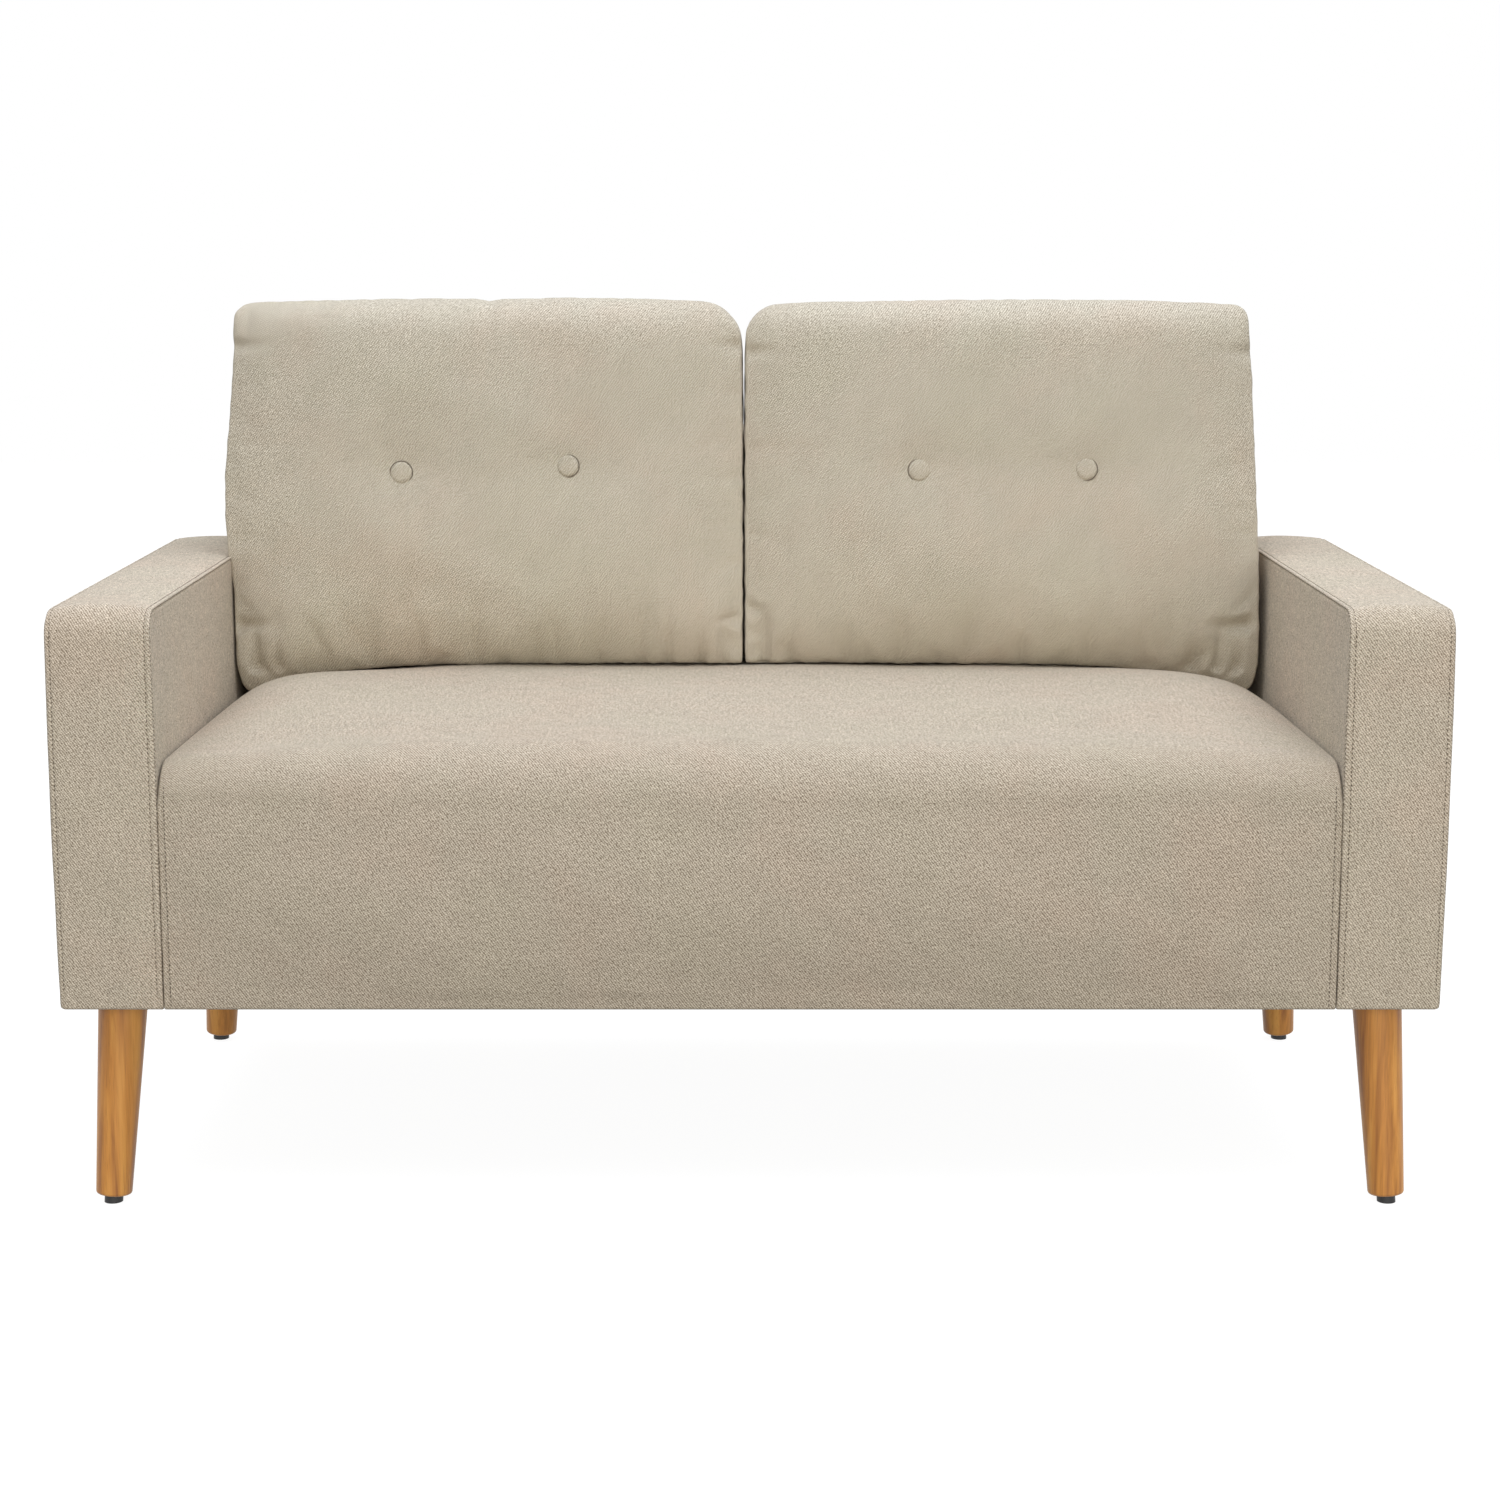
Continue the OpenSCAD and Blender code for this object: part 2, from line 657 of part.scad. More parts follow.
// Sinuous springs: bars across the spring, joined by half turns on alternate sides
module sinuous_spring() {
    for (i = [0:spring_bends]) translate([0, i * spring_pitch, 0])
        rotate([0, 90, 0]) cylinder(h = spring_bar, d = wire_d, center = true, $fn = 16);
    for (i = [0:spring_bends - 1]) let (side = i % 2 == 0 ? 1 : -1)
        translate([side * spring_bar / 2, (i + 1 / 2) * spring_pitch, 0])
            rotate([0, 0, side > 0 ? -90 : 90])
                rotate_extrude(angle = 180, $fn = 32) translate([bend_r, 0]) circle(d = wire_d, $fn = 16);
}
module each_spring() {
    for (i = [0:spring_count - 1]) translate([(i - (spring_count - 1) / 2) * spring_step, 0, 0]) children();
}
module seat_springs() {
    color("dimgray") each_spring() translate([0, spring_y0, wire_z]) sinuous_spring();
}
module spring_clips() {
    color("silver") each_spring() for (y = [spring_y0, spring_y0 + spring_run])
        translate([0, y, wire_z]) difference() {
            cube([clip_w, clip_l, clip_h], center = true);
            rotate([0, 90, 0]) cylinder(h = clip_w + 2 * over, d = clip_bore_d, center = true);
        }
}
module spring_felt() {
    color("gray") board([-rail_x, front_rail_y, felt_z], [2 * rail_x, spring_reach + rail_t, felt_t]);
}

// Seat padding and cover
module seat_foam() {
    color("lemonchiffon") lofted(seat_foam_rows(inside), len(seat_foam_rows(inside)[0]) - 1);
}
module seat_cover() {
    color("tan") difference() {
        lofted_shell(seat_cover_rows(0), seat_cover_rows(cover_t), seat_fan);
        for (side = [-1, 1]) on_side(side) arm_bolt_bores(rail_x, inside + over);
        back_bolt_bores(seat_y1 + over, inside + over + fit);
    }
}

// Back: an outline of depth and height, set in from the front, top and rear
function back_front(z, inset) = z <= back_rake_z ? back_y0 + inset
    : back_y0 + max(inset, inset / cos(back_rake) + (z - back_rake_z) * tan(back_rake));
function back_outline(front, top, rear, z0, front_r, rear_r) = let (
    yr = arm_y1 - rear,
    zt = back_h - top,
    cf = zt - front_r
) concat(
    [[back_y0 + front, z0], [yr, z0]],
    rear_r > 0 ? flat_arc(yr - rear_r, zt - rear_r, rear_r, 0, 90, 6) : [[yr, zt]],
    front_r > 0
        ? flat_arc(back_front(cf, front) + front_r / cos(back_rake), cf, front_r, 90, 180 - back_rake, 6)
        : [[back_front(zt, front), zt]],
    [[back_y0 + front, back_rake_z + (front - front / cos(back_rake)) / tan(back_rake)]]
);
function flat_arc(y, z, r, a0, a1, n) = [
    for (i = [0:n]) let (a = a0 + (a1 - a0) * i / n) [y + r * cos(a), z + r * sin(a)]
];
module raked_board(z0, z1, line, thick, length) {
    along_width(length) polygon([
        [back_front(z0, line), z0], [back_front(z0, line) + thick, z0],
        [back_front(z1, line) + thick, z1], [back_front(z1, line), z1]
    ]);
}
module back_post(side) {
    color("burlywood") on_side(side) difference() {
        translate([rail_x - rail_t / 2, 0, 0]) along_width(rail_t)
            polygon(back_outline(post_line, back_h - back_fz1, panel_line, frame_z0, 0, 0));
        arm_bolt_bores(arm_head_x - over, rail_t + 2 * over);
    }
}
module back_top_rail() {
    color("burlywood") raked_board(top_rail_z, back_fz1, post_line, rail_t, 2 * (rail_x - rail_t));
}
module back_mid_rail() {
    color("burlywood")
        raked_board(mid_rail_z, mid_rail_z + back_rail_h, post_line, rail_t, 2 * (rail_x - rail_t));
}
module back_base_rail() {
    color("burlywood") difference() {
        board([-rail_x, back_y0 + inside, frame_z0], [2 * rail_x, base_rail_t, back_rail_h]);
        back_bolt_bores(back_head_y + over, base_rail_t + 2 * over);
    }
}
module back_webbing() {
    color("dimgray") for (i = [0:web_count - 1])
        translate([(i - (web_count - 1) / 2) * web_step, 0, 0])
            along_width(web_w) polygon([
                for (z = web_heights) [back_front(z, web_line), z],
                for (i = [len(web_heights) - 1:-1:0]) [back_front(web_heights[i], post_line), web_heights[i]]
            ]);
}
web_hold = back_rail_h / 3;
web_heights = [mid_rail_z + web_hold, back_rake_z, back_fz1 - web_hold];
module back_foam() {
    color("lemonchiffon") along_width(2 * rail_x) difference() {
        polygon(back_outline(inside, inside, inside, mid_rail_z,
            back_front_r - inside, back_rear_r - inside));
        polygon(back_outline(foam_line, inside + back_top_foam, -over, mid_rail_z - over, 0, 0));
    }
}
module back_panel() {
    color("peru") board([-rail_x, arm_y1 - panel_line, frame_z0], [2 * rail_x, panel_t, back_fz1 - frame_z0]);
}
module back_cover() {
    color("tan") difference() {
        along_width(2 * seat_half) polygon(back_outline(0, 0, 0, base_z, back_front_r, back_rear_r));
        along_width(2 * (seat_half - cover_t)) polygon(back_outline(cover_t, cover_t, cover_t,
            base_z - over, back_front_r - cover_t, back_rear_r - cover_t));
        for (side = [-1, 1]) on_side(side) arm_bolt_bores(rail_x, inside + over);
        back_bolt_bores(back_y0 + inside, inside + over);
    }
}

// Dust covers under the seat, the back and the arms
module dust_covers() {
    x = seat_half - dust_inset;
    z = base_z - dust_t;
    color("black") {
        board([-x, arm_y0 + dust_inset, z], [2 * x, seat_d - 2 * dust_inset, dust_t]);
        board([-x, back_y0 + dust_inset, z + cover_t], [2 * x, back_base_d - 2 * dust_inset, dust_t]);
        for (side = [-1, 1]) on_side(side)
            board([arm_mid - arm_w / 2 + dust_inset, arm_y0 + bottom_flange - dust_inset, z],
                [arm_w - 2 * dust_inset, arm_d - 2 * bottom_flange + 2 * dust_inset, dust_t]);
    }
}

// Back cushions
module cushion_bores(cx) {
    each_button(cx, -cushion_box_t / 2) cylinder(h = 2 * cushion_box_t, d = tie_d + 2 * fit, $fn = 16);
}
module cushion_cover(cx) {
    color("tan") difference() {
        lofted_shell(cushion_rows(cx, 0), cushion_rows(cx, cushion_cover_t), cushion_fan);
        cushion_bores(cx);
    }
}
module cushion_zip(cx) {
    color("dimgray")
        lofted([for (station = cushion_stations) zip_row(cx, station, zip_slot / 2 - fit)], 0);
}
module cushion_fill(cx) {
    color("white") difference() {
        lofted(cushion_rows(cx, cushion_cover_t + fit), cushion_fan);
        cushion_bores(cx);
    }
}
module cushion_buttons(cx) {
    dome_r = (pow(button_d / 2, 2) + pow(button_dome_h, 2)) / (2 * button_dome_h);
    color("tan") each_button(cx, button_front_t + fit) {
        cylinder(h = button_edge_h, d = button_d);
        translate([0, 0, button_edge_h]) intersection() {
            translate([0, 0, button_dome_h - dome_r]) sphere(r = dome_r, $fn = 64);
            cylinder(h = button_dome_h + over, d = button_d);
        }
    }
}
module cushion_rear_buttons(cx) {
    color("gray") each_button(cx, button_rear_t - fit - rear_button_h)
        cylinder(h = rear_button_h, d = rear_button_d);
}
module cushion_ties(cx) {
    color("ivory") each_button(cx, button_rear_t - fit)
        cylinder(h = button_front_t - button_rear_t + 2 * fit, d = tie_d, $fn = 16);
}

// Legs
module leg(sx, sy) {
    top_more = leg_top_d * sin(leg_splay) + over;
    growth = (leg_top_d - leg_foot_d) / 2 / leg_l;
    foot_r = leg_foot_d / 2;
    color("peru") difference() {
        intersection() {
            leg_axis(sx, sy) translate([0, 0, -leg_l]) rotate_extrude() polygon(concat(
                [[0, 0]],
                [for (a = [-90:15:0]) [foot_r + foot_edge_r * (cos(a) - 1), foot_edge_r * (1 + sin(a))]],
                [[foot_r + growth * (leg_l + top_more), leg_l + top_more], [0, leg_l + top_more]]
            ));
            translate([sx * arm_mid - arm_w, arm_y0 - arm_d, 0]) cube([2 * arm_w, 3 * arm_d, base_z]);
        }
        leg_axis(sx, sy) {
            translate([0, 0, -hanger_in_leg - fit])
                cylinder(h = 2 * hanger_in_leg, d = bolt_d + 2 * bolt_play);
            translate([0, 0, -leg_l - over])
                cylinder(h = glide_pin_h + fit + over, d = glide_pin_d + 2 * fit, $fn = 16);
        }
    }
}
module leg_glides() {
    color("black") for (sx = [-1, 1], sy = [-1, 1]) {
        intersection() {
            leg_axis(sx, sy) translate([0, 0, -leg_l]) rotate([180, 0, 0]) union() {
                cylinder(h = glide_h + glide_trim, d = glide_d);
                translate([0, 0, -glide_pin_h]) cylinder(h = glide_pin_h + over, d = glide_pin_d, $fn = 16);
            }
            translate([-settee_w, -arm_d, 0]) cube([2 * settee_w, 2 * arm_d, base_z]);
        }
    }
}

// Fasteners
module hex_bolt(length) {
    cylinder(h = length, d = bolt_d);
    translate([0, 0, -hex_h]) cylinder(h = hex_h, r = hex_across / sqrt(3), $fn = 6);
}
module washer() {
    difference() {
        cylinder(h = washer_t, d = washer_d);
        translate([0, 0, -over]) cylinder(h = washer_t + 2 * over, d = bolt_d + 2 * bolt_play);
    }
}
// The nut's barrel runs down from 0 and its flange lies above 0
module t_nut() {
    difference() {
        union() {
            cylinder(h = nut_flange_t, d = nut_flange_d);
            translate([0, 0, -nut_barrel_h]) cylinder(h = nut_barrel_h + nut_flange_t, d = nut_barrel_d);
        }
        translate([0, 0, -nut_barrel_h - over])
            cylinder(h = nut_barrel_h + nut_flange_t + 2 * over, d = bolt_d + bolt_play);
    }
}
module hanger_bolts() {
    color("silver") for (sx = [-1, 1], sy = [-1, 1]) leg_axis(sx, sy)
        translate([0, 0, -hanger_in_leg])
            cylinder(h = hanger_in_leg + nut_seat + nut_flange_t + hanger_end, d = bolt_d);
}
module arm_bolts() {
    length = arm_nut_x + nut_flange_t + bolt_end - arm_head_x + washer_t;
    color("silver") for (side = [-1, 1]) on_side(side)
        each_arm_bolt(arm_head_x - washer_t) hex_bolt(length);
}
module back_bolts() {
    color("silver") each_back_bolt(back_head_y + washer_t)
        hex_bolt(back_head_y + washer_t - rear_rail_y + nut_flange_t + bolt_end);
}
module bolt_washers() {
    color("silver") {
        for (side = [-1, 1]) on_side(side) each_arm_bolt(arm_head_x - washer_t) washer();
        each_back_bolt(back_head_y + washer_t) washer();
    }
}
module t_nuts() {
    color("gray") {
        for (side = [-1, 1]) on_side(side) each_arm_bolt(arm_nut_x) t_nut();
        each_back_bolt(rear_rail_y) t_nut();
        for (sx = [-1, 1], sy = [-1, 1]) leg_axis(sx, sy) translate([0, 0, nut_seat]) t_nut();
    }
}

arm_front_post(-1);  // left_arm_front_post
arm_rear_post(-1);  // left_arm_rear_post
arm_top_rail(-1);  // left_arm_top_rail
arm_bottom_rail(-1);  // left_arm_bottom_rail
arm_joining_rail(-1);  // left_arm_joining_rail
arm_panels(-1);  // left_arm_panels
arm_foam(-1);  // left_arm_foam
arm_cover(-1);  // left_arm_cover
arm_front_post(1);  // right_arm_front_post
arm_rear_post(1);  // right_arm_rear_post
arm_top_rail(1);  // right_arm_top_rail
arm_bottom_rail(1);  // right_arm_bottom_rail
arm_joining_rail(1);  // right_arm_joining_rail
arm_panels(1);  // right_arm_panels
arm_foam(1);  // right_arm_foam
arm_cover(1);  // right_arm_cover
seat_front_rail();
seat_rear_rail();
seat_side_rail(-1);  // seat_left_rail
seat_side_rail(1);  // seat_right_rail
seat_stretcher();
seat_corner_blocks();
seat_springs();
spring_clips();
spring_felt();
seat_foam();
seat_cover();
back_post(-1);  // back_left_post
back_post(1);  // back_right_post
back_top_rail();
back_mid_rail();
back_base_rail();
back_webbing();
back_foam();
back_panel();
back_cover();
dust_covers();
cushion_cover(left_cushion_x);  // left_cushion_cover
cushion_fill(left_cushion_x);  // left_cushion_fill
cushion_buttons(left_cushion_x);  // left_cushion_buttons
cushion_rear_buttons(left_cushion_x);  // left_cushion_rear_buttons
cushion_ties(left_cushion_x);  // left_cushion_ties
cushion_zip(left_cushion_x);  // left_cushion_zip
cushion_cover(right_cushion_x);  // right_cushion_cover
cushion_fill(right_cushion_x);  // right_cushion_fill
cushion_buttons(right_cushion_x);  // right_cushion_buttons
cushion_rear_buttons(right_cushion_x);  // right_cushion_rear_buttons
cushion_ties(right_cushion_x);  // right_cushion_ties
cushion_zip(right_cushion_x);  // right_cushion_zip
leg(-1, -1);  // front_left_leg
leg(1, -1);  // front_right_leg
leg(-1, 1);  // rear_left_leg
leg(1, 1);  // rear_right_leg
leg_glides();
hanger_bolts();
arm_bolts();
back_bolts();
bolt_washers();
t_nuts();
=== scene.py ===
"""Looks of a high back settee around its CAD frame: upholstery, stitching, materials, light and camera."""

import json
import math

import bpy
import bmesh
import numpy as np
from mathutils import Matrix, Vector


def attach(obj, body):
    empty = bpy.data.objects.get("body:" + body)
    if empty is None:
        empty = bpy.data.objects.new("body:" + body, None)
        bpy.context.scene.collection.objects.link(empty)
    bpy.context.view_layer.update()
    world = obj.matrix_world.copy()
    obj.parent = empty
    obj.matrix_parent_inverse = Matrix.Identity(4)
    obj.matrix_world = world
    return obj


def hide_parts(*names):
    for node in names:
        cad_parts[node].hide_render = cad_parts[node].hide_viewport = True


MM = 0.001
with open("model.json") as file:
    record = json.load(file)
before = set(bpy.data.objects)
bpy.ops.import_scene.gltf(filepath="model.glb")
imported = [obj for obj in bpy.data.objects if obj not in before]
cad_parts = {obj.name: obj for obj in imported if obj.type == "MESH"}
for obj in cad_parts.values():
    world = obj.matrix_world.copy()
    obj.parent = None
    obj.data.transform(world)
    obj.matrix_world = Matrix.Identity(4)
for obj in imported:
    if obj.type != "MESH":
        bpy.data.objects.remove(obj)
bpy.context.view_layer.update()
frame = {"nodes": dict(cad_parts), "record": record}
scene = bpy.context.scene
nodes = frame["nodes"]

# Sizes of the frame, in millimetres, as in the CAD source
SETTEE_W = 1320.0
ARM_D = 660.0
BASE_Z = 204.0
ARM_W = 100.0
ARM_H = 588.0
ARM_CROWN = 4.0
ARM_FRONT_R = 25.0
ARM_REAR_R = 40.0
SEAT_EDGE_H = 442.0
SEAT_REAR_DROP = 17.0
SEAT_CROWN_FRONT = 14.0
SEAT_CROWN_REAR = 42.0
SEAT_BULGE = 10.0
SEAT_NOSE_R = 32.0
SEAT_NOSE_GAIN = 24.0
BACK_BASE_D = 132.0
BACK_H = 720.0
BACK_RAKE = math.radians(5.5)
BACK_RAKE_Z = 430.0
CUSHION_W = 552.0
CUSHION_H = 405.0
CUSHION_BOX_T = 102.0
CUSHION_CROWN = 42.0
CUSHION_TUCK = 18.0
CUSHION_SINK = 17.0
CUSHION_REAR_CROWN = 6.0
BUTTON_PITCH = 178.0
BUTTON_D = 24.0
TUFT_SHOWN = 6.5
UNIT_GAP = 0.5
CUSHION_GAP = 0.8
CORNER_R = 6.0
SIDE_HALF = SETTEE_W / 2 - ARM_W
SEAT_HALF = SIDE_HALF - UNIT_GAP
ARM_MID = SETTEE_W / 2 - ARM_W / 2
ARM_Y0 = SEAT_BULGE / 2 - ARM_D / 2
ARM_Y1 = ARM_Y0 + ARM_D
BACK_Y0 = ARM_Y1 - BACK_BASE_D
SEAT_Y1 = BACK_Y0 - UNIT_GAP
SEAT_D = SEAT_Y1 - ARM_Y0
LEFT_X = -SIDE_HALF + CUSHION_GAP + CUSHION_W / 2
RIGHT_X = LEFT_X + CUSHION_W + CUSHION_GAP
CUSHION_Z = SEAT_EDGE_H - SEAT_REAR_DROP + SEAT_CROWN_REAR - CUSHION_SINK + CORNER_R
CUSHION_Y = (
    BACK_Y0
    + (CUSHION_Z - BACK_RAKE_Z) * math.tan(BACK_RAKE)
    - (CUSHION_REAR_CROWN + CUSHION_GAP) / math.cos(BACK_RAKE)
)
BUTTON_H = 0.545 * CUSHION_H


# Mesh helpers

WELD = 2e-5


def add_object(name, data):
    obj = bpy.data.objects.new(name, data)
    scene.collection.objects.link(obj)
    return obj


def smooth(mesh):
    for p in mesh.polygons:
        p.use_smooth = True


def run_length(points):
    """Distance from the first point to each point of a line."""
    return np.concatenate([[0], np.cumsum(np.linalg.norm(np.diff(points, axis=0), axis=1))])


def dent(away, depth, reach):
    """A furrow: -depth where away is 0, with soft flanks."""
    return -depth * math.exp(-((away / reach) ** 2))


class Cloth:
    """Grid patches of one piece, each with its own weave coordinates in metres."""

    def __init__(self):
        self.points, self.faces, self.uvs, self.count = [], [], [], 0

    def patch(self, points, uv, flip=False, closed=False, uv_end=None):
        """Adds a grid of points (n, m, 3) with weave places uv (n, m, 2), all in mm.

        A closed grid joins its last column to its first. The weave runs on over that join, or ends at uv_end.
        """
        n, m = points.shape[:2]
        self.points.append(points.reshape(-1, 3))
        ids = np.arange(n * m).reshape(n, m) + self.count
        if closed:
            ids = np.concatenate([ids, ids[:, :1]], 1)
            if uv_end is None:
                uv_end = uv[:, -1:] * 2 - uv[:, -2:-1]
            uv = np.concatenate([uv, uv_end], 1)
        for grid, store, size in ((ids, self.faces, 4), (uv, self.uvs, 2)):
            a, b, c, d = grid[:-1, :-1], grid[1:, :-1], grid[1:, 1:], grid[:-1, 1:]
            store.append(np.stack((a, d, c, b) if flip else (a, b, c, d), 2).reshape(-1, size))
        self.count += n * m

    def build(self, name):
        """Makes the object; patches that share border points are welded."""
        mesh = bpy.data.meshes.new(name)
        points = np.concatenate(self.points) * MM
        faces = np.concatenate(self.faces)
        mesh.from_pydata(points.tolist(), [], faces.tolist())
        layer = mesh.uv_layers.new(name="weave")
        layer.data.foreach_set("uv", (np.concatenate(self.uvs) * MM).astype(np.float32).ravel())
        bm = bmesh.new()
        bm.from_mesh(mesh)
        bmesh.ops.remove_doubles(bm, verts=bm.verts, dist=WELD)
        bmesh.ops.recalc_face_normals(bm, faces=bm.faces)
        bm.to_mesh(mesh)
        bm.free()
        smooth(mesh)
        return add_object(name, mesh)


def smooth_noise(seed, waves, *coords):
    """Smooth repeatable noise about 0, from a few turned sine waves of about this (length, height)."""
    length, height = waves
    rng = np.random.default_rng(seed)
    total = 0.0
    for _ in range(7):
        k = rng.normal(size=len(coords))
        k = k / np.linalg.norm(k) * 2 * math.pi / length * rng.uniform(0.7, 1.4)
        total = total + np.sin(sum(a * c for a, c in zip(k, coords)) + rng.uniform(0, 2 * math.pi))
    return total / 3.2 * height


# Outline of an upholstered block in depth and height, as rounded corners joined by straight runs


MIN_CORNER_R = 0.4


def outline(corners, inset, arc_n=9, run_step=12.0):
    """Closed outline of convex corners (y, z, r), set in by inset. Returns its points and outward normals."""
    pts = np.array([c[:2] for c in corners], float)
    n = len(pts)
    edges = [pts[(i + 1) % n] - pts[i] for i in range(n)]
    dirs = [e / np.linalg.norm(e) for e in edges]
    normals = [np.array([d[1], -d[0]]) for d in dirs]
    lines = [(pts[i] - normals[i] * inset, dirs[i]) for i in range(n)]
    arcs = []
    for i in range(n):
        p0, d0 = lines[i - 1]
        p1, d1 = lines[i]
        t = np.linalg.solve(np.array([d0, -d1]).T, p1 - p0)[0]
        corner = p0 + d0 * t
        turn = math.atan2(d0[0] * d1[1] - d0[1] * d1[0], float(d0 @ d1))
        r = max(corners[i][2] - inset, MIN_CORNER_R)
        back = r * math.tan(turn / 2)
        centre = corner - d0 * back - normals[i - 1] * r
        a0 = math.atan2(normals[i - 1][1], normals[i - 1][0])
        arc = []
        for k in range(arc_n + 1):
            a = a0 + turn * k / arc_n
            outward = np.array([math.cos(a), math.sin(a)])
            arc.append((centre + r * outward, outward))
        arcs.append(arc)
    pts_out, nrm = [], []
    for i in range(n):
        for p, m in arcs[i]:
            pts_out.append(p)
            nrm.append(m)
        a, b = arcs[i][-1][0], arcs[(i + 1) % n][0][0]
        length = np.linalg.norm(np.array(corners[(i + 1) % n][:2]) - np.array(corners[i][:2]))
        steps = max(2, int(length / run_step))
        for k in range(1, steps):
            pts_out.append(a + (b - a) * k / steps)
            nrm.append(normals[i])
    return np.array(pts_out), np.array(nrm)


def half_stations(end, stitch_q):
    """Places from the middle of a band to one of its edges, dense from the top stitching on."""
    dense = stitch_q - DENSE_BEFORE
    return np.concatenate([np.arange(0, dense, BROAD_STEP), np.arange(dense, end, FINE_STEP), [end]])


# Padded blocks, in mm. Furrows are (depth, reach), waves and ripples are (length, height).
BROAD_STEP, FINE_STEP, DENSE_BEFORE = 6.0, 0.75, 4.0
SEAM_TURN = 1.15
STITCH_IN = 6.0
SEAM_THREAD_IN = 0.3
STITCH_FURROW, SEAM_FURROW, PANEL_FURROW = (0.9, 1.1), (1.5, 0.9), (1.3, 1.3)
STRIP_RISE, STRIP_FROM, STRIP_EASE = 0.45, 0.6, 1.2
SAG_REACH = 7.0
BAND_WAVES, BAND_RIPPLE, RIPPLE_REACH = (90.0, 0.45), (17.0, 0.16), 9.0
SEAM_PUSH_SHARE = 0.8
FLAT_FOOT = 12.0
PANEL_DEPTHS = (0, 0.8, 1.6, 2.6, 4, 6, 9, 13, 18, 26, 38, 55, 75, 100, 130, 165)
PANEL_REACH = 175.0
PANEL_PUFF_REACH = 14.0
PANEL_WAVES = (110.0, 0.5)
PANEL_WAVES_IN, PANEL_WAVES_END, PANEL_WAVES_EASE = 20, 115, 60
PANEL_SWOLLEN = 0.5


